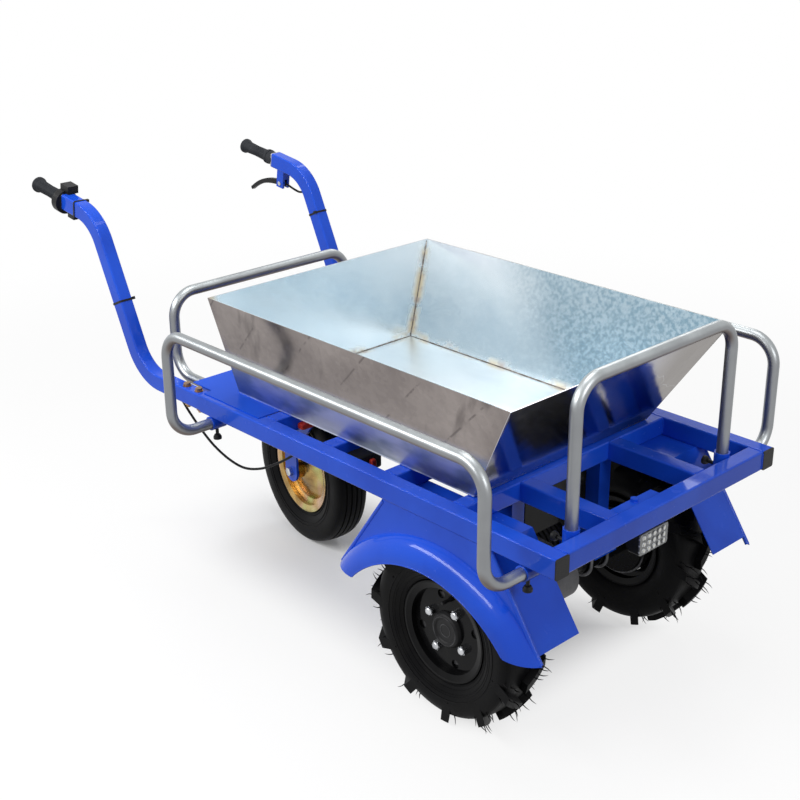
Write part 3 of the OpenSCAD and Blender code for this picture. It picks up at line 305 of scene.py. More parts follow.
@dataclass(frozen=True)
class GlossPaint(Finish):
    """Sprayed gloss paint: a fine orange peel, slow changes of depth and a thin film of dust."""

    rubbed: Colour = (0.12, 0.20, 0.66)
    coat: float = 0.34

    def make(self, s: Shader) -> bpy.types.Material:
        """Mixes two depths of the colour and dulls the gloss where dust lies."""
        depth = s.span(s.noise(7.0, 3.0), 0.3, 0.7)
        dust = s.span(s.noise(26.0, 8.0), 0.56, 0.8)
        scuff = s.span(s.noise(70.0, 10.0), 0.70, 0.74)
        base = s.mix(depth, self.shade, self.colour)
        base = s.mix(scuff * 0.2, base, self.rubbed)
        return s.dress(
            Base_Color=base, Roughness=self.roughness + 0.14 * dust + 0.2 * scuff, Specular_IOR_Level=0.05,
            Coat_Weight=self.coat, Coat_Roughness=0.06, Normal=s.bump(s.noise(300.0, 1.0), 0.00007))


@dataclass(frozen=True)
class GalvanisedSheet(Finish):
    """Spangled zinc sheet of the hopper: painted reflections outside, painted shade on the inside long walls,
    painted light on the floor, and heat stains at the welds inside.
    """

    floor_z: float = 0.526
    height: float = 0.250
    back_low: float = -1.047
    back_high: float = -1.055
    front_low: float = -0.278
    front_high: float = -0.124
    half_low: float = 0.2805
    half_high: float = 0.349
    skin: float = 0.0014
    painted_wall_shade: Colour = (0.15, 0.26, 0.33)
    lit_floor: Colour = (0.90, 0.97, 1.00)
    # pitch and lean place the slanted dark lines of painted reflection outside.
    pitch: float = 0.170
    lean: float = 0.8

    def make(self, s: Shader) -> bpy.types.Material:
        """Works out how far a point is from each wall, and lays spangle, stains, painted shade, painted light
        and painted reflections by that.
        """
        x, y, z = s.axes()
        up = z - self.floor_z
        rise = up / self.height
        back = x - (self.back_low + FRONT) - (self.back_high - self.back_low) * rise
        front = (self.front_low + FRONT) + (self.front_high - self.front_low) * rise - x
        side = self.half_low + (self.half_high - self.half_low) * rise - abs(y)
        near = back.least(front).least(side)
        outside = s.span(near.least(up), self.skin * 1.1, self.skin * 0.9)
        spangle = s.cells(95.0)
        cloud = s.span(s.noise(5.5, 4.0), 0.3, 0.72)
        stain = self.stains(s, back, front, side, near.most(up))
        # ahead marks the front wall and low the bluish band, both carrying painted reflection outside.
        ahead = s.span(front, self.skin * 1.1, self.skin * 0.9)
        low = s.span(rise, 0.50, 0.34) * (1.0 - ahead)
        base = s.mix(outside, self.inner(s, x, side, up, spangle, cloud, stain),
                     self.outer(s, x, y, rise, ahead, low, spangle, cloud))
        rough = (self.roughness + 0.03 * spangle + 0.2 * stain + outside * (0.26 * low - 0.12)
                 + 0.10 * s.span(up, 0.006, 0.0035))
        return s.dress(Base_Color=base, Roughness=rough, Metallic=1.0 - 0.6 * stain * (1.0 - outside),
                       Normal=s.bump(s.noise(7.0, 2.0), 0.0013))

    def stains(self, s: Shader, back: Sock, front: Sock, side: Sock, foot: Sock) -> Sock:
        """Heat stains: strong up the rear corners, weaker up the front ones and along the floor's edge."""
        corner = s.span(back.most(side), 0.030, 0.003) + s.span(front.most(side), 0.022, 0.003) * 0.4
        edge = s.span(foot, 0.026, 0.003) * 0.9
        return corner.most(edge) * s.span(s.noise(15.0, 4.0), 0.45, 0.58)

    def inner(self, s: Shader, x: Sock, side: Sock, up: Sock, spangle: Sock, cloud: Sock, stain: Sock) -> Sock:
        """Pale inside, with painted light on the floor, a painted darker, bluer shade over the front half of
        the long walls, and brown where stained.
        """
        base = s.mix(spangle * 0.10 + cloud * 0.65, self.shade, self.colour)
        # Painted light: the floor is paler where it faces up, in patches where worn.
        worn = s.span(s.noise(7.0, 6.0, (3.0, 1.0, 1.0)), 0.42, 0.66)
        base = s.mix(s.span(up, 0.006, 0.0035) * (0.85 - 0.70 * worn), base, self.lit_floor)
        # Painted shade: darker and bluer over the front half of the long walls, mottled.
        wall = s.span(side, 0.016, 0.006) * s.span(up, 0.006, 0.020)
        ahead = s.span(x + 0.9 * up, 0.26, 0.50) * 0.75 + s.span(x, 0.0, 0.7) * 0.25
        mottle = s.span(s.noise(105.0, 5.0), 0.36, 0.66)
        base = s.mix(wall * (0.16 + ahead * (0.55 + 0.24 * mottle)), base, self.painted_wall_shade)
        burnt = s.mix(s.span(s.noise(45.0, 3.0), 0.48, 0.62), (0.60, 0.47, 0.25), (0.32, 0.19, 0.10))
        return s.mix(stain * 0.75, base, burnt)

    def outer(self, s: Shader, x: Sock, y: Sock, rise: Sock, ahead: Sock, low: Sock, spangle: Sock,
              cloud: Sock) -> Sock:
        """Outside, painted reflections: brown-grey with slanted dark streaks and lines, a bluish band low down,
        a painted highlight along the bottom edge and a front wall of its own, with faint pale scratches there.
        """
        # Painted reflection: the brown-grey outside stands in for a darker surround mirrored in the zinc.
        base = s.mix(cloud * 0.75 + spangle * 0.25, (0.165, 0.142, 0.136), (0.300, 0.265, 0.250))
        # Painted reflection: slanted dark streaks.
        streak_reflection = s.noise(13.0, 4.0, (1.0, 1.0, 9.0), (0.0, 0.38, 0.0))
        base = s.mix(s.span(streak_reflection, 0.60, 0.70) * 0.55, base, (0.075, 0.062, 0.060))
        # Painted reflection: slanted dark lines at a fixed pitch.
        row = (x + y - self.lean * self.height * rise) / self.pitch
        line = s.span(abs(row.off()) * self.pitch, 0.0042, 0.0014)
        base = s.mix(line * s.span(s.noise(30.0, 3.0), 0.44, 0.54) * 0.6, base, (0.075, 0.062, 0.060))
        # Painted reflection of the blue frame: a bluish band low down.
        patch = s.span(s.noise(16.0, 3.0, (2.5, 1.0, 1.0)), 0.42, 0.62)
        blue_reflection = s.mix(patch, (0.50, 0.53, 0.64), (0.26, 0.31, 0.38))
        base = s.mix(low * 0.9, base, blue_reflection)
        # Painted highlight along the bottom edge.
        base = s.mix(s.span(rise, 0.022, 0.012) * 0.8, base, (0.80, 0.84, 0.90))
        # Painted reflection on the front wall: pale to one side, brown to the other.
        clear = s.mix(s.span(y, 0.02, 0.24), (0.50, 0.50, 0.54), (0.155, 0.138, 0.122))
        base = s.mix(ahead * 0.85, base, clear)
        scratch = s.span(abs(s.noise(9.0, 3.0, (1.0, 1.0, 4.0), (0.5, -0.4, 0.0)) - 0.5), 0.0050, 0.0015)
        return s.mix(ahead * scratch * 0.2, base, (0.80, 0.84, 0.90))


@dataclass(frozen=True)
class PlatedMetal(Finish):
    """Plated or bare metal: cloudy changes of tint with a fine drawn grain."""

    cloud: float = 30.0
    grain: float = 380.0
    grain_depth: float = 0.00012

    def make(self, s: Shader) -> bpy.types.Material:
        """Mixes two tints by a cloud pattern and roughens the surface with the grain."""
        cloud = s.span(s.noise(self.cloud, 5.0), 0.32, 0.68)
        grain = s.noise(self.grain, 4.0)
        spots = s.span(s.noise(self.cloud * 6.0, 8.0), 0.62, 0.74)
        base = s.mix(cloud, self.shade, self.colour)
        base = s.mix(spots * 0.35, base, self.shade)
        return s.dress(Base_Color=base, Metallic=1.0,
                       Roughness=self.roughness + 0.10 * grain + 0.12 * spots,
                       Normal=s.bump(grain, self.grain_depth))


@dataclass(frozen=True)
class ShadedTube(PlatedMetal):
    """Plated tube painted lighter on top, with a painted darker band along its sides and painted brown shade
    below.
    """

    # Painted shade: the side colour where the tube faces sideways, the next colour where it faces down.
    side: Colour = (0.22, 0.225, 0.235)
    painted_underside: Colour = (0.120, 0.092, 0.080)

    def make(self, s: Shader) -> bpy.types.Material:
        """Mixes bright zinc, the painted side shade and the painted shade below by how far the surface faces
        up.
        """
        cloud = s.noise(self.cloud, 5.0)
        up = s.facing() + 0.22 * (cloud - 0.5)
        grain = s.noise(self.grain, 4.0)
        base = s.mix(s.span(cloud, 0.32, 0.68), self.shade, self.colour)
        # Painted shade: a darker band where the surface faces sideways.
        base = s.mix(s.span(up, 0.72, 0.05) * 0.80, base, self.side)
        # Painted brown shade where the surface faces down.
        base = s.mix(s.span(up, -0.05, -0.55) * 0.9, base, self.painted_underside)
        return s.dress(Base_Color=base, Metallic=1.0, Roughness=self.roughness + 0.10 * grain,
                       Normal=s.bump(grain, self.grain_depth))


@dataclass(frozen=True)
class PassivatedZinc(PlatedMetal):
    """Yellow passivated zinc, whose tint drifts to green and rose."""

    green: Colour = (0.50, 0.55, 0.22)
    rose: Colour = (0.62, 0.40, 0.30)

    def make(self, s: Shader) -> bpy.types.Material:
        """Mixes the tints by two slow noises over the gold."""
        grain = s.noise(self.grain, 4.0)
        base = s.mix(s.span(s.noise(self.cloud, 4.0), 0.35, 0.65), self.shade, self.colour)
        base = s.mix(s.span(s.noise(11.0, 2.0), 0.50, 0.66) * 0.75, base, self.green)
        base = s.mix(s.span(s.noise(14.0, 2.0, (1.0, 1.0, 2.0)), 0.52, 0.66) * 0.7, base, self.rose)
        return s.dress(Base_Color=base, Metallic=1.0, Roughness=self.roughness + 0.12 * grain,
                       Normal=s.bump(grain, self.grain_depth))


@dataclass(frozen=True)
class Rubber(Finish):
    """Moulded rubber with a patchy dusty bloom."""

    bloom: float = 0.5

    def make(self, s: Shader) -> bpy.types.Material:
        """Lays the bloom by two noises and roughens the skin."""
        patch = s.span(s.noise(16.0, 6.0), 0.42, 0.72)
        speck = s.span(s.noise(140.0, 5.0), 0.5, 0.8)
        base = s.mix(patch * self.bloom + speck * (self.bloom * 0.5), self.colour, self.shade)
        return s.dress(Base_Color=base, Roughness=self.roughness + 0.16 * patch, Specular_IOR_Level=0.06,
                       Normal=s.bump(s.noise(420.0, 3.0), 0.0003))


@dataclass(frozen=True)
class SatinCoat(Finish):
    """Satin coating, moulding or casting skin: a soft mottle and a grain of its own size."""

    grain: float = 300.0
    grain_depth: float = 0.0003
    metallic: float = 0.0
    specular: float = 0.16

    def make(self, s: Shader) -> bpy.types.Material:
        """Mixes two tones by a soft mottle over the grain."""
        mottle = s.span(s.noise(18.0, 5.0), 0.35, 0.7)
        grain = s.noise(self.grain, 3.0)
        return s.dress(Base_Color=s.mix(mottle, self.colour, self.shade), Metallic=self.metallic,
                       Roughness=self.roughness + 0.12 * mottle, Specular_IOR_Level=self.specular,
                       Normal=s.bump(grain, self.grain_depth))


@dataclass(frozen=True)
class LampGlass(Finish):
    """Clear lamp cover over rows of small diodes, each a yellow chip in a bright cup."""

    centre_y: float = -0.056
    centre_z: float = 0.455
    pitch_y: float = 0.0165
    pitch_z: float = 0.0140

    def make(self, s: Shader) -> bpy.types.Material:
        """Finds the distance to the nearest diode of the grid and colours chip, cup and plate by it."""
        _, y, z = s.axes()
        across = ((y - self.centre_y) / self.pitch_y).off() * self.pitch_y
        along = ((z - self.centre_z) / self.pitch_z).off() * self.pitch_z
        away = (across * across + along * along) ** 0.5
        chip, cup = s.span(away, 0.0022, 0.0016), s.span(away, 0.0052, 0.0044)
        base = s.mix(cup, self.shade, self.colour)
        base = s.mix(chip, base, (0.86, 0.84, 0.66))
        return s.dress(Base_Color=base, Roughness=self.roughness + 0.25 * chip, Coat_Weight=0.4,
                       Coat_Roughness=0.04)


BLUE = GlossPaint("blue_paint", (0.012, 0.088, 0.68), (0.008, 0.066, 0.57), 0.22)
DECK_BLUE = GlossPaint("blue_paint", (0.008, 0.084, 0.64), (0.006, 0.064, 0.54), 0.34, "deck_paint", coat=0.06)
GALVANISED = GalvanisedSheet("galvanised", (0.91, 0.95, 0.97), (0.73, 0.81, 0.86), 0.24)
SEAM = PlatedMetal("galvanised", (0.26, 0.24, 0.22), (0.085, 0.070, 0.060), 0.38, "seam", cloud=90.0)
ZINC = ShadedTube("zinc_tube", (0.44, 0.47, 0.48), (0.33, 0.35, 0.36), 0.33, cloud=14.0)
GOLD = PassivatedZinc("gold_zinc", (0.50, 0.33, 0.12), (0.26, 0.16, 0.06), 0.20, cloud=18.0)
BRASS = PlatedMetal("bolt_zinc", (0.44, 0.27, 0.14), (0.22, 0.13, 0.07), 0.26, cloud=120.0)
STEEL = PlatedMetal("steel", (0.60, 0.61, 0.63), (0.36, 0.37, 0.39), 0.20, cloud=60.0)
# Steel darkened to painted shade, for the hubs and axle clamps that sit in shade; the cap rings use it too.
SHADED_STEEL = PlatedMetal("steel", (0.10, 0.10, 0.105), (0.045, 0.045, 0.047), 0.36, "shaded_steel", cloud=60.0)
TYRE = Rubber("tyre", (0.0035, 0.0035, 0.0040), (0.010, 0.0098, 0.0095), 0.40)
GRIP = Rubber("grip_rubber", (0.026, 0.028, 0.032), (0.050, 0.052, 0.057), 0.50, bloom=0.7)
SHEATH = Rubber("cable", (0.007, 0.007, 0.0075), (0.020, 0.020, 0.021), 0.36, bloom=0.4)
BLACK_METAL = SatinCoat("black_metal", (0.0035, 0.0035, 0.0040), (0.007, 0.007, 0.0075), 0.10, grain=60.0,
                        grain_depth=0.00010, specular=0.09)
BLACK_PLASTIC = SatinCoat("black_plastic", (0.009, 0.009, 0.0095), (0.017, 0.017, 0.018), 0.38, grain=650.0)
CAST = SatinCoat("cast_case", (0.075, 0.075, 0.080), (0.12, 0.12, 0.125), 0.45, grain=160.0,
                 grain_depth=0.0008, metallic=0.6)
MOTOR = SatinCoat("motor", (0.014, 0.014, 0.015), (0.026, 0.026, 0.027), 0.40, grain=240.0)
RED = SatinCoat("black_plastic", (0.42, 0.030, 0.018), (0.25, 0.020, 0.014), 0.36, "red_boot", grain=500.0)
LENS = LampGlass("lens", (0.80, 0.82, 0.84), (0.15, 0.155, 0.16), 0.12)


@dataclass
class Shell:
    """Points and four-sided faces of a surface before it becomes a mesh."""

    points: Array
    quads: Array

    @staticmethod
    def grid(points: Array, wrap_rows: bool, wrap_columns: bool) -> "Shell":
        """Surface over a grid of points.

        Each face joins a point to the next in its row, the next in its column and the one between.

        Args:
            points: rows by columns by 3.
            wrap_rows: whether the last row joins the first.
            wrap_columns: whether the last column joins the first.

        Returns:
            The surface.
        """
        rows, columns = points.shape[:2]
        i, j = np.meshgrid(np.arange(rows - (not wrap_rows)), np.arange(columns - (not wrap_columns)),
                           indexing="ij")
        n, m = (i + 1) % rows, (j + 1) % columns
        quads = np.stack([i * columns + j, n * columns + j, n * columns + m, i * columns + m], -1)
        return Shell(points.reshape(-1, 3), quads.reshape(-1, 4))

    @staticmethod
    def tube(path: Array, radius: Array | float, side: Array, sides: int = 12) -> "Shell":
        """Closed round tube: a circle square to the path, carried along it, with a point at both ends.

        Args:
            path: points of the path.
            radius: the circle's radius, one value or one a point.
            side: a direction that the path never runs along.
            sides: corners of the circle.

        Returns:
            The surface.
        """
        along = unit(np.gradient(path, axis=0))
        across = unit(np.cross(along, side))
        lift = np.cross(along, across)
        angle = np.linspace(0.0, TURN, sides, endpoint=False)
        c, s = np.cos(angle)[None, :, None], np.sin(angle)[None, :, None]
        ring = c * across[:, None, :] + s * lift[:, None, :]
        reach = np.broadcast_to(np.asarray(radius, float), (len(path),))[:, None, None]
        rings = path[:, None, :] + reach * ring
        ends = [np.repeat(path[i][None, None, :], sides, 1) for i in (0, -1)]
        return Shell.grid(np.concatenate([ends[0], rings, ends[1]]), False, True)

    @staticmethod
    def turned(profile: Array, origin: Array, axis: Array, start: Array, segments: int = 48,
               loop: bool = False) -> "Shell":
        """Profile turned about an axis: radius times the turning direction plus height times the axis.

        Args:
            profile: rows of radius and height; open profiles start and end on the axis.
            origin: point of the axis at height zero.
            axis: direction of the axis.
            start: direction of the first section, square to the axis.
            segments: sections in a full turn.
            loop: whether the profile closes on itself.

        Returns:
            The surface.
        """
        angle = np.linspace(0.0, TURN, segments, endpoint=False)
        way = np.cos(angle)[:, None] * start + np.sin(angle)[:, None] * np.cross(axis, start)
        points = origin + profile[:, None, :1] * way[None, :, :] + profile[:, None, 1:] * axis
        return Shell.grid(points, loop, True)

    @staticmethod
    def block(low: Array, high: Array, softness: float = 0.16, steps: int = 24) -> "Shell":
        """Box with soft edges.

        A sphere's directions, each share raised to a small power with its sign kept, times half the box's size.

        Args:
            low: least corner.
            high: greatest corner.
            softness: the power; near zero the edges are sharp.
            steps: rows from the bottom to the top.

        Returns:
            The surface.
        """
        tilt, turn = np.meshgrid(np.linspace(-0.5, 0.5, steps) * math.pi,
                                 np.linspace(0.0, TURN, 2 * steps, endpoint=False), indexing="ij")
        ball = np.stack([np.cos(tilt) * np.cos(turn), np.cos(tilt) * np.sin(turn), np.sin(tilt)], -1)
        soft = np.sign(ball) * np.abs(ball.round(9)) ** softness
        soft[..., :2] *= (np.abs(np.cos(tilt).round(9)) > 0.0)[..., None]
        return Shell.grid((low + high) / 2.0 + soft * (high - low) / 2.0, False, True)

    @staticmethod
    def joined(shells: Sequence["Shell"]) -> "Shell":
        """Several surfaces as one."""
        starts = np.cumsum([0, *(len(s.points) for s in shells[:-1])])
        return Shell(np.vstack([s.points for s in shells]),
                     np.vstack([s.quads + n for s, n in zip(shells, starts)]))

    def piece(self, name: str, finish: Finish, body: str, *stands_for: str,
              crease: float = 40.0) -> bpy.types.Object:
        """Makes the mesh a piece of the part.

        Equal points are merged, which closes seams and poles, and the faces are turned outwards.

        Args:
            name: the piece's name.
            finish: its finish.
            body: the body that it rides on.
            stands_for: nodes that it replaces.
            crease: edges sharper than this angle, in degrees, stay sharp.

        Returns:
            The piece.
        """
        mesh = bpy.data.meshes.new(name)
        mesh.from_pydata(self.points.tolist(), [], self.quads.tolist())
        work = bmesh.new()
        work.from_mesh(mesh)
        bmesh.ops.remove_doubles(work, verts=work.verts, dist=1e-7)
        bmesh.ops.recalc_face_normals(work, faces=work.faces)
        work.to_mesh(mesh)
        work.free()
        mesh.shade_smooth()
        mesh.set_sharp_from_angle(angle=math.radians(crease))
        obj = bpy.data.objects.new(name, mesh)
        bpy.context.scene.collection.objects.link(obj)
        finish.onto(obj)
        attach(obj, body)
        if stands_for:
            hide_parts(*stands_for)
        log.info("%s on %s: %d faces", name, body, len(mesh.polygons))
        return obj


def weld_bead(first: Array, last: Array, radius: float, ripple: float = 0.0045) -> Shell:
    """Weld bead between two points: a tube whose radius swells and falls along its length, as each drop sets.

    Args:
        first: one end.
        last: the other end.
        radius: mean radius.
        ripple: spacing of the drops.

    Returns:
        The surface.
    """
    length = float(np.linalg.norm(last - first))
    share = np.linspace(0.0, 1.0, max(int(length / ripple * 4.0), 8))
    swell = 1.0 + 0.16 * np.cos(TURN * share * length / ripple)
    path = first + share[:, None] * (last - first)
    way = unit(last - first)
    side = UP if abs(way[2]) < 0.8 else FORE
    ends = np.minimum(1.0, 12.0 * np.minimum(share, 1.0 - share) + 0.3)
    return Shell.tube(path, radius * swell * ends, side, 8)


def ring_bar(radius: float, reach: float, size: float, centre: Array, axis: Array, start: Array) -> Shell:
    """Raised ring: a small circle, at a radius from an axis and a reach along it, turned about that axis.

    Args:
        radius: distance of the circle's middle from the axis.
        reach: its place along the axis.
        size: the circle's own radius.
        centre: point of the axis at reach zero.
        axis: direction of the axis.
        start: direction of the first section, square to the axis.

    Returns:
        The surface.
    """
    angle = np.linspace(0.0, TURN, 8, endpoint=False)
    profile = np.stack([radius + size * np.cos(angle), reach + size * np.sin(angle)], 1)
    return Shell.turned(profile, centre, axis, start, 96, True)


def face_tree(obj: bpy.types.Object) -> BVHTree:
    """Search tree of an object's faces."""
    return BVHTree.FromPolygons([v.co for v in obj.data.vertices], [p.vertices for p in obj.data.polygons])


class Side(Enum):
    """A side of the buggy and the sign of its Y."""

    RIGHT = -1
    LEFT = 1


@dataclass
class Assembly:
    """A group of the part's pieces: its solids by finish, and the pieces that it adds."""

    solids: Solids = field(default_factory=dict)

    def dress(self, nodes: Nodes) -> None:
        """Gives each solid of the group its finish."""
        for finish, names in self.solids.items():
            for name in names:
                finish.onto(nodes[name])
                log.info("%s dressed in %s", name, finish.slot)

    def build(self, nodes: Nodes) -> None:
        """Adds the group's own pieces, if it has any."""


@dataclass
class Frame(Assembly):
    """Welded tube frame with its deck, legs and fenders."""

    solids: Solids = field(default_factory=lambda: {
        BLUE: ("right_side_rail", "left_side_rail", "end_beams", "cross_members", "bearers",
               "side_hoop_sockets", "rear_hoop_sockets", "front_hoop_sockets", "right_fender", "left_fender",
               "axle_legs", "caster_head"),
        DECK_BLUE: ("deck_plate",),
        BLACK_PLASTIC: ("rail_end_caps", "thumb_screws")})
    cross_x: Numbers = (-0.019, -0.280, -0.479, -0.678, -0.877, -1.086)
    bearer_y: float = 0.143
    bearer_ends: Numbers = (-0.038, -0.261, -0.299, -0.460)
    bead: float = 0.0021
    bead_z: float = FRAME_TOP - 0.0006
    end_gap: float = 0.0035
    fender_x: float = -0.319
    fender_y: float = 0.350
    fender_top: float = 0.150
    fender_low: float = 0.291
    fender_drop: float = 0.203
    arch_z: float = 0.083
    arch_radius: float = 0.293
    arch_reach: float = 0.033
    lip_radius: float = 0.0018
    fold_radius: float = 0.0052
    fold_sink: float = 0.0030
    fold_span: Pair = (0.03, 0.985)
    lip_inset: float = 0.012

    def fender_edges(self) -> Shell:
        """Rolled edges of the fenders.

        A round bar runs down each corner of plate and strip, half sunk in both, and another follows the arch's
        lip, a part of a circle in the plane of the flare's outermost point.

        Returns:
            All edges of both fenders as one surface.
        """
        share = np.linspace(*self.fold_span, 40)[:, None]
        start = math.asin((FRAME_LOW - self.fender_drop - self.arch_z) / self.arch_radius) + self.lip_inset
        turn = np.linspace(start, math.pi - start, 120)
        edges = []
        for side in Side:
            for end in (-1.0, 1.0):
                top = place(self.fender_x + end * self.fender_top, side.value * self.fender_y, FRAME_LOW)
                fall = np.array([end * (self.fender_low - self.fender_top), 0.0, -self.fender_drop])
                out = unit(np.array([-end * fall[2], 0.0, end * fall[0]])) + side.value * ACROSS
                fold = top + share * fall - self.fold_sink * out
                edges.append(Shell.tube(fold, self.fold_radius, ACROSS, 20))
            middle = place(self.fender_x, side.value * (self.fender_y + self.arch_reach), self.arch_z)
            ring = np.stack([np.cos(turn), np.zeros(len(turn)), np.sin(turn)], 1)
            edges.append(Shell.tube(middle + self.arch_radius * ring, self.lip_radius, ACROSS, 10))
        return Shell.joined(edges)

    def build(self, nodes: Nodes) -> None:
        """Welds cross tubes to the rails and bearers to the cross tubes, and rolls the fenders' edges."""
        beads = []
        foot, head = FRAME_LOW + self.end_gap, FRAME_TOP - self.end_gap
        for x in self.cross_x:
            for side in Side:
                y = side.value * RAIL_INNER_Y
                near, far = x - RAIL_HALF + self.end_gap, x + RAIL_HALF - self.end_gap
                beads.append(weld_bead(place(near, y, self.bead_z), place(far, y, self.bead_z), self.bead))
                beads += [weld_bead(place(end, y, foot), place(end, y, head), self.bead)
                          for end in (x - RAIL_HALF, x + RAIL_HALF)]
        for x in self.bearer_ends:
            for side in Side:
                y = side.value * self.bearer_y
                low, high = y - RAIL_HALF + self.end_gap, y + RAIL_HALF - self.end_gap
                beads.append(weld_bead(place(x, low, self.bead_z), place(x, high, self.bead_z), self.bead))
        Shell.joined(beads).piece("frame_welds", BLUE, "chassis")
        self.fender_edges().piece("fender_edges", BLUE, "chassis")


@dataclass
class Handles(Assembly):
    """Bent handles with their grips, brake lever, cables and fastenings."""

    solids: Solids = field(default_factory=lambda: {
        BLUE: ("handle_spigots", "right_handle_tube", "left_handle_tube", "lever_bracket"),
        BRASS: ("handle_bolts",),
        BLACK_PLASTIC: ("cable_ties", "throttle_housing", "handle_switch", "brake_lever"),
        STEEL: ("grip_stubs", "lever_pivot"),
        GRIP: ("throttle_grip", "left_grip"),
        SHEATH: ("brake_cable", "control_cable")})
    end: Pair = (-1.661716, 0.889937)
    rise: float = 8.0
    handle_y: float = 0.338
    grip_start: float = 0.0265
    grip_length: float = 0.116
    rib_pitch: float = 0.0045
    rib_depth: float = 0.0010
    sleeve_radius: float = 0.019
    sleeve_length: float = 0.0225
    cable_radius: float = 0.003
    control_x: Numbers = (
        -1.216, -1.208, -1.180, -1.130, -1.080, -1.022, -0.965, -0.905, -0.848, -0.800, -0.766, -0.755)
    control_z: Numbers = (
        0.488, 0.480, 0.455, 0.420, 0.394, 0.378, 0.376, 0.394, 0.424, 0.455, 0.480, 0.488)
    brake_back: Numbers = (0.0505, 0.062, 0.085, 0.108, 0.124, 0.134, 0.150)
    brake_drop: Numbers = (0.058, 0.058, 0.061, 0.062, 0.058, 0.058, 0.058)

    def way(self) -> tuple[Array, Array]:
        """Directions along a handle's end, to the rear, and square to it, upwards."""
        c, s = math.cos(math.radians(self.rise)), math.sin(math.radians(self.rise))
        return np.array([-c, 0.0, s]), np.array([s, 0.0, c])

    def origin(self, side: Side) -> Array:
        """Middle of a handle's end."""
        return place(self.end[0], side.value * self.handle_y, self.end[1])

    def cables(self) -> None:
        """Hangs the control cable in its loop and runs the brake cable from the lever into the handle."""
        route = np.stack([np.array(self.control_x) + FRONT, np.full(len(self.control_x), -self.handle_y),
                          np.array(self.control_z)], 1)
        line = flowing(route, 8)
        cord = Shell.tube(line, self.cable_radius, ACROSS).piece(
            "control_cord", SHEATH, "chassis", "control_cable")
        along, up = self.way()
        route = (self.origin(Side.LEFT) - np.array(self.brake_back)[:, None] * along
                 - np.array(self.brake_drop)[:, None] * up)
        Shell.tube(flowing(route, 8), self.cable_radius, ACROSS).piece(
            "brake_line", SHEATH, "chassis", "brake_cable")

    def grip(self, side: Side, collar: float) -> Shell:
        """Rubber grip: a barrel that dips in rings, cut across by lengthwise channels, with a flared end.

        Args:
            side: the handle that carries it.
            collar: length of the plain sleeve in front of it.

        Returns:
            The surface.
        """
        along, up = self.way()
        across = np.cross(along, up)
        at = np.linspace(0.0, self.grip_length, 260)
        radius = np.interp(at, [0.0, 0.008, 0.012, 0.058, 0.102, 0.109, 0.1145, 0.116],
                           [0.0205, 0.0205, 0.0165, 0.0150, 0.0165, 0.0205, 0.0205, 0.0190])
        ribbed = np.clip((at - 0.014) / 0.003, 0.0, 1.0) * np.clip((0.100 - at) / 0.003, 0.0, 1.0)
        angle = np.linspace(0.0, TURN, 96, endpoint=False)
        channel = np.clip(np.cos(angle * 6.0) * 6.0 - 4.6, 0.0, 1.0)
        ring = 0.5 - 0.5 * np.cos(TURN * at / self.rib_pitch)
        dip = ribbed[:, None] * (self.rib_depth * np.maximum(ring[:, None], channel[None, :]))
        reach = radius[:, None] - dip
        if collar:
            at = np.concatenate([[-collar, -collar, -0.0002], at])
            front = self.sleeve_radius * np.array([0.0, 1.0, 1.0])[:, None] * np.ones((1, len(angle)))
            reach = np.vstack([front, reach])
        at = np.concatenate([at[:1], at, at[-1:]])
        reach = np.vstack([reach[:1] * 0.0, reach, reach[-1:] * 0.0])
        way = np.cos(angle)[:, None] * up + np.sin(angle)[:, None] * across
        points = (self.origin(side) + (self.grip_start + at)[:, None, None] * along
                  + reach[:, :, None] * way[None, :, :])
        return Shell.grid(points, False, True)

    def build(self, nodes: Nodes) -> None:
        """Adds the cables and the ribbed grips."""
        self.cables()
        self.grip(Side.RIGHT, 0.0).piece("ribbed_throttle_grip", GRIP, "throttle", "throttle_grip")
        self.grip(Side.LEFT, self.sleeve_length).piece("ribbed_left_grip", GRIP, "chassis", "left_grip")


@dataclass
class Guards(Assembly):
    """Bent-tube guard hoops."""

    solids: Solids = field(default_factory=lambda: {
        ZINC: ("right_side_hoop", "left_side_hoop", "rear_hoop", "front_hoop")})


@dataclass
class Hopper(Assembly):
    """Sheet hopper with welded corners."""

    solids: Solids = field(default_factory=lambda: {GALVANISED: ("hopper",)})
    bead: float = 0.0018
    inset: float = 0.0034
    ripple: float = 0.006
    floor_gap: float = 0.0030
    rim_gap: float = 0.004

    def build(self, nodes: Nodes) -> None:
        """Runs a weld bead up each inner corner and round the floor."""
        g, inset = GALVANISED, self.inset
        low_z, high_z = g.floor_z + self.floor_gap, g.floor_z + g.height - self.rim_gap
        low = [(g.back_low + inset, -1), (g.front_low - inset, -1), (g.front_low - inset, 1),
               (g.back_low + inset, 1)]
        high = [g.back_high + inset, g.front_high - inset, g.front_high - inset, g.back_high + inset]
        floor = [place(x, s * (g.half_low - inset), low_z) for x, s in low]
        rim = [place(x, s * (g.half_high - inset), high_z) for x, (_, s) in zip(high, low)]
        beads = [weld_bead(a, b, self.bead, self.ripple) for a, b in zip(floor, rim)]
        beads += [weld_bead(a, b, self.bead, self.ripple) for a, b in zip(floor, floor[1:] + floor[:1])]
        Shell.joined(beads).piece("hopper_welds", SEAM, "tub")


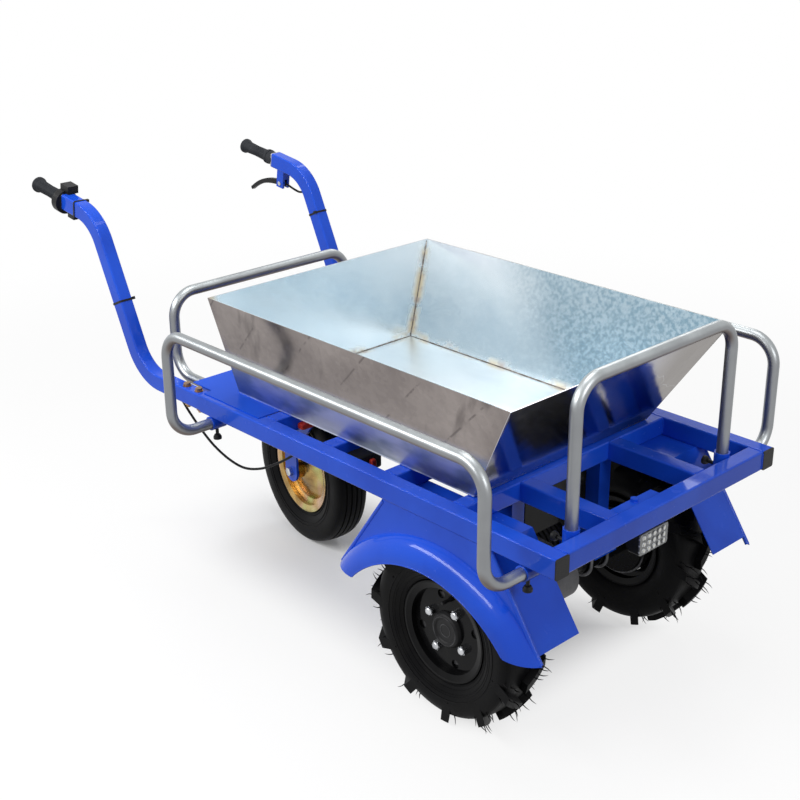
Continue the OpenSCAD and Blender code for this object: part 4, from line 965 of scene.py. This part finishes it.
@dataclass
class DriveWheel(Assembly):
    """Drive wheel: lug tyre with moulding hairs, black rim with a valve, nuts and a plain cap."""

    side: Side = Side.RIGHT
    axle: Pair = (-0.319, 0.214)
    wheel_y: float = 0.288
    radius: float = 0.214
    half_width: float = 0.050
    lugs: int = 11
    lug_lean: float = 0.044
    lug_width: float = 0.023
    lug_turn: float = math.radians(-97.0)
    valve_turn: float = math.radians(83.0)
    rows: Numbers = (0.30, 0.62, 0.93)
    wall_rings: tuple[Pair, ...] = (
        (0.1195, 0.0016), (0.1270, 0.0010), (0.1370, 0.0008), (0.1420, 0.0008), (0.1520, 0.0011))
    cap_rings: tuple[Triple, ...] = ((0.0320, 0.0331, 0.0009), (0.0140, 0.0301, 0.0009))
    seed: int = 41
    hair_length: Pair = (0.014, 0.023)
    hair_drift: float = 0.003
    ground_gap: float = 0.030
    valve_radius: float = 0.078
    valve_reach: float = 0.0205

    @property
    def body(self) -> str:
        """Name of the body that turns."""
        return f"{self.side.name.lower()}_wheel"

    def __post_init__(self) -> None:
        """Names the wheel's solids by its side."""
        s = self.side.name.lower()
        self.solids = {TYRE: (f"{s}_tyre",), BLACK_METAL: (f"{s}_rim",), BLACK_PLASTIC: (f"{s}_hub_cap",),
                       STEEL: (f"{s}_wheel_nuts",), SHADED_STEEL: (f"{s}_hub",)}

    def out(self) -> Array:
        """Direction of the axle, outwards."""
        return np.array([0.0, float(self.side.value), 0.0])

    def centre(self) -> Array:
        """Middle of the wheel."""
        return place(self.axle[0], self.side.value * self.wheel_y, self.axle[1])

    def hairs(self, tyre: bpy.types.Object) -> Shell:
        """Moulding hairs on the lugs and between them.

        A hair is a three-sided spike: its middle runs from the root along the tyre's outward direction, bends
        aside with the square of its height, and its radius falls to nothing at the tip.

        Args:
            tyre: the tyre's solid, on which the roots are found.

        Returns:
            All hairs as one surface.
        """
        draw = np.random.default_rng(self.seed + self.side.value)
        face = np.repeat([1.0, -1.0], self.lugs * len(self.rows) * 3)
        lug = np.tile(np.repeat(np.arange(self.lugs), len(self.rows) * 3), 2)
        row = np.tile(np.repeat(self.rows, 3), 2 * self.lugs)
        across = np.tile([-0.42, 0.42, 1.6], 2 * self.lugs * len(self.rows))
        count = len(face)
        drift = draw.uniform(-self.hair_drift, self.hair_drift, count)
        slide = self.lug_lean * row + self.lug_width * across + drift
        angle = self.lug_turn + TURN / self.lugs * (lug + np.where(face < 0, 0.5, 0.0)) + slide / self.radius
        outward = np.stack([np.cos(angle), np.zeros(count), np.sin(angle)], 1)
        sideways = (face * row * self.half_width)[:, None] * self.out()
        start = self.centre() + outward * (self.radius + 0.02) + sideways
        tree = face_tree(tyre)
        found = [tree.ray_cast(Vector(a), Vector(-b)) for a, b in zip(start, outward)]
        kept = np.array([f[0] is not None and f[0].z > self.ground_gap for f in found])
        root = np.array([f[0] for f, k in zip(found, kept) if k])
        count = len(root)
        lean = draw.normal(0.0, 0.35, (count, 3)) + (face[kept] * (row[kept] > 0.8))[:, None] * self.out() * 0.3
        way = unit(outward[kept] + 0.5 * np.clip(lean, -0.6, 0.6))
        aside = unit(np.cross(way, self.out())) * draw.choice([-1.0, 1.0], count)[:, None]
        lift = np.cross(way, aside)
        length = draw.uniform(*self.hair_length, count)[:, None, None, None]
        step = np.array([-0.08, 0.0, 0.4, 0.75, 1.0])[None, :, None, None]
        thick = np.array([0.0, 0.0015, 0.0012, 0.0008, 0.0])[None, :, None, None]
        turn = np.linspace(0.0, TURN, 3, endpoint=False)[None, None, :, None]
        points = (root[:, None, None, :] + length * (step * way[:, None, None, :]
                  + 0.35 * step**2 * aside[:, None, None, :])
                  + thick * (np.cos(turn) * aside[:, None, None, :] + np.sin(turn) * lift[:, None, None, :]))
        return Shell.joined([Shell.grid(p, False, True) for p in points])

    def wall(self, tyre: bpy.types.Object, radius: float) -> float:
        """How far the tyre's outer face reaches at a radius, found between two lugs."""
        way = np.array([math.cos(self.lug_turn), 0.0, math.sin(self.lug_turn)])
        start = self.centre() + radius * way + 0.2 * self.out()
        hit = face_tree(tyre).ray_cast(Vector(start), Vector(-self.out()))[0]
        return float(np.dot(np.array(hit) - self.centre(), self.out()))

    def ring(self, radius: float, reach: float, size: float) -> Shell:
        """Raised ring on the wheel's outer face."""
        return ring_bar(radius, reach, size, self.centre(), self.out(), FORE)

    def valve(self) -> Shell:
        """Valve stem with its cap: a stepped profile turned about its own axis."""
        profile = np.array([[0.0, 0.0], [0.0060, 0.0], [0.0056, 0.006], [0.0038, 0.010], [0.0036, 0.018],
                            [0.0042, 0.0185], [0.0042, 0.028], [0.0030, 0.0295], [0.0, 0.0295]])
        way = np.array([math.cos(self.valve_turn), 0.0, math.sin(self.valve_turn)])
        root = self.centre() + self.valve_radius * way + self.valve_reach * self.out()
        return Shell.turned(profile, root, self.out(), FORE, 16)

    def build(self, nodes: Nodes) -> None:
        """Adds hairs, sidewall rings, the valve and the cap's plain rings."""
        s = self.side.name.lower()
        tyre = nodes[f"{s}_tyre"]
        self.hairs(tyre).piece(f"{s}_tyre_hairs", TYRE, self.body, crease=70.0)
        rings = [self.ring(radius, self.wall(tyre, radius), size) for radius, size in self.wall_rings]
        Shell.joined(rings).piece(f"{s}_tyre_rings", TYRE, self.body)
        self.valve().piece(f"{s}_valve", BLACK_PLASTIC, self.body)
        rings = [self.ring(*ring) for ring in self.cap_rings]
        Shell.joined(rings).piece(f"{s}_cap_ring", SHADED_STEEL, self.body)


@dataclass
class RearWheel(Assembly):
    """Swivelling rear wheel: blue fork, gold dished rim and ribbed tyre."""

    solids: Solids = field(default_factory=lambda: {
        BLUE: ("caster_fork",), STEEL: ("caster_axle",), GOLD: ("caster_rim",), TYRE: ("caster_tyre",)})
    turn: float = -8.0
    wall_rings: tuple[Triple, ...] = (
        (0.1285, 0.0365, 0.0016), (0.1480, 0.0443, 0.0010), (0.1560, 0.0452, 0.0010))

    def build(self, nodes: Nodes) -> None:
        """Adds sidewall rings on both faces of the tyre."""
        low, high = (np.array(c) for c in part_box("caster_tyre"))
        centre, t = (low + high) / 2.0, math.radians(self.turn)
        axis, fore = np.array([-math.sin(t), math.cos(t), 0.0]), np.array([math.cos(t), math.sin(t), 0.0])
        rings = [ring_bar(*ring, centre, axis * face.value, fore) for face in Side for ring in self.wall_rings]
        Shell.joined(rings).piece("rear_tyre_rings", TYRE, "rear_wheel")


@dataclass
class DriveLine(Assembly):
    """Axle tube with its clamps, gear case, motor and brake plates."""

    solids: Solids = field(default_factory=lambda: {
        BLACK_METAL: ("axle_housing", "brake_backplates"), CAST: ("gear_case",), MOTOR: ("drive_motor",),
        SHADED_STEEL: ("axle_clamps",)})


@dataclass
class Electrics(Assembly):
    """Batteries in their tray, controller and work lamp."""

    solids: Solids = field(default_factory=lambda: {
        BLACK_METAL: ("battery_tray",), BLACK_PLASTIC: ("battery", "controller", "lamp_housing"),
        BLUE: ("lamp_bracket",), LENS: ("lamp_lens",)})
    fuse_box: tuple[Triple, ...] = ((-0.6588, -0.288, 0.461), (-0.612, -0.222, 0.500))
    boots: tuple[tuple[Triple, ...], ...] = (
        ((-0.6120, -0.262, 0.452), (-0.600, -0.248, 0.492)),
        ((-0.8578, -0.262, 0.486), (-0.838, -0.214, 0.502)))

    def build(self, nodes: Nodes) -> None:
        """Adds the small fuse box on a cross tube, and the red boots of the terminals beside it."""
        Shell.block(*(place(*corner) for corner in self.fuse_box)).piece("fuse_box", BLACK_PLASTIC, "chassis")
        boots = [Shell.block(*(place(*corner) for corner in boot), softness=0.4) for boot in self.boots]
        Shell.joined(boots).piece("terminal_boots", RED, "chassis")


@dataclass
class Studio:
    """Camera at the photograph's angle, soft lamps, pale floor and white surround."""

    location: Triple = (2.29161, -2.04175, 1.74160)
    azimuth: float = 46.8824
    elevation: float = 22.5391
    roll: float = -0.4928
    lens: float = 61.127
    sensor: float = 36.0
    target: Triple = (0.1, 0.0, 0.5)
    lamps: tuple[tuple[str, Triple, Pair, float], ...] = (
        ("overhead", (0.2, 0.1, 3.4), (1.7, 1.7), 34.0),
        ("strip", (-0.7, -2.5, 2.3), (3.8, 0.46), 80.0),
        ("camera_left", (0.2, -3.4, 2.3), (1.3, 1.3), 4.0),
        ("camera_right", (3.6, -0.3, 2.0), (1.3, 1.3), 33.0),
        ("behind", (-1.4, 2.8, 2.8), (1.2, 1.2), 18.0))
    fill: float = 0.32
    floor_radius: float = 40.0
    floor_z: float = -0.0006
    floor_sides: int = 64
    fade: Pair = (1.3, 3.2)
    footprint: Pair = (0.62, 0.24)

    def camera(self) -> None:
        """Stands the camera where its azimuth, elevation and roll point it at the part."""
        data = bpy.data.cameras.new("camera")
        data.sensor_width, data.lens = self.sensor, self.lens
        obj = bpy.data.objects.new("camera", data)
        turn = (Matrix.Rotation(math.radians(self.azimuth), 4, "Z")
                @ Matrix.Rotation(math.radians(90.0 - self.elevation), 4, "X")
                @ Matrix.Rotation(math.radians(self.roll), 4, "Z"))
        obj.matrix_world = Matrix.Translation(self.location) @ turn
        bpy.context.scene.collection.objects.link(obj)
        bpy.context.scene.camera = obj

    def light(self) -> None:
        """Hangs the soft lamps, each a rectangle that faces the part."""
        for name, spot, size, power in self.lamps:
            data = bpy.data.lights.new(name, "AREA")
            data.shape, data.energy = "RECTANGLE", power
            data.size, data.size_y = size
            obj = bpy.data.objects.new(name, data)
            obj.location = spot
            obj.rotation_euler = (Vector(self.target) - Vector(spot)).to_track_quat("-Z", "Y").to_euler()
            bpy.context.scene.collection.objects.link(obj)

    def seen(self, s: Shader) -> Sock:
        """One for rays that look at the surround, straight, mirrored or through glass, else zero."""
        path = s.tree.nodes.new("ShaderNodeLightPath")
        camera, glossy, through = (Sock(s, path.outputs[n]) for n in
                                   ("Is Camera Ray", "Is Glossy Ray", "Is Transmission Ray"))
        return camera.most(glossy).most(through)

    def surround(self) -> None:
        """White world for the rays that look at it, with a dimmer even light for the rest."""
        world = bpy.data.worlds.new("surround")
        world.use_nodes = True
        bpy.context.scene.world = world
        s = Shader.on(world.node_tree)
        back = s.tree.nodes["Background"]
        back.inputs["Color"].default_value = (1.0, 1.0, 1.0, 1.0)
        s.fill(back.inputs["Strength"], self.seen(s) * (1.0 - self.fill) + self.fill)

    def floor(self) -> None:
        """Pale floor disc that keeps the shadow near the part and fades into the white surround."""
        angle = np.linspace(0.0, TURN, self.floor_sides, endpoint=False)
        rim = np.stack([self.floor_radius * np.cos(angle), self.floor_radius * np.sin(angle),
                        np.full(self.floor_sides, self.floor_z)], 1)
        mesh = bpy.data.meshes.new("floor")
        mesh.from_pydata(rim.tolist(), [], [list(range(self.floor_sides))])
        obj = bpy.data.objects.new("floor", mesh)
        bpy.context.scene.collection.objects.link(obj)
        s = Shader("floor")
        x, y, _ = s.axes()
        away = s.span((x * x + y * y) ** 0.5, *self.fade)
        under = s.span((abs(x) - self.footprint[0]).most(abs(y) - self.footprint[1]), 0.10, -0.14)
        s.dress(Base_Color=(0.92, 0.92, 0.92), Roughness=0.7, Specular_IOR_Level=0.1)
        glow = s.node("ShaderNodeEmission", inputs={"Color": (1.0, 1.0, 1.0), "Strength": self.seen(s)})
        share = s.node("ShaderNodeMixShader", inputs={
            0: 0.82 + 0.18 * away - 0.72 * under, 1: Sock(s, s.surface.outputs[0]), 2: glow})
        s.tree.links.new(share.socket, s.output.inputs[0])
        obj.data.materials.append(s.material)

    def build(self) -> None:
        """Sets up camera, lamps, surround and floor."""
        bpy.context.scene.view_settings.view_transform = "Standard"
        self.camera()
        self.light()
        self.surround()
        self.floor()


def main() -> None:
    """Loads the frame, sets up the studio, and dresses and builds each group of pieces."""
    logging.basicConfig(level=logging.INFO, format="%(name)s: %(message)s", stream=sys.stdout)
    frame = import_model()
    Studio().build()
    groups: list[Assembly] = [Handles(), Frame(), Guards(), Hopper(), DriveWheel(side=Side.RIGHT),
                              DriveWheel(side=Side.LEFT), RearWheel(), DriveLine(), Electrics()]
    for group in groups:
        group.dress(frame["nodes"])
        group.build(frame["nodes"])


if __name__ == "__main__":
    main()
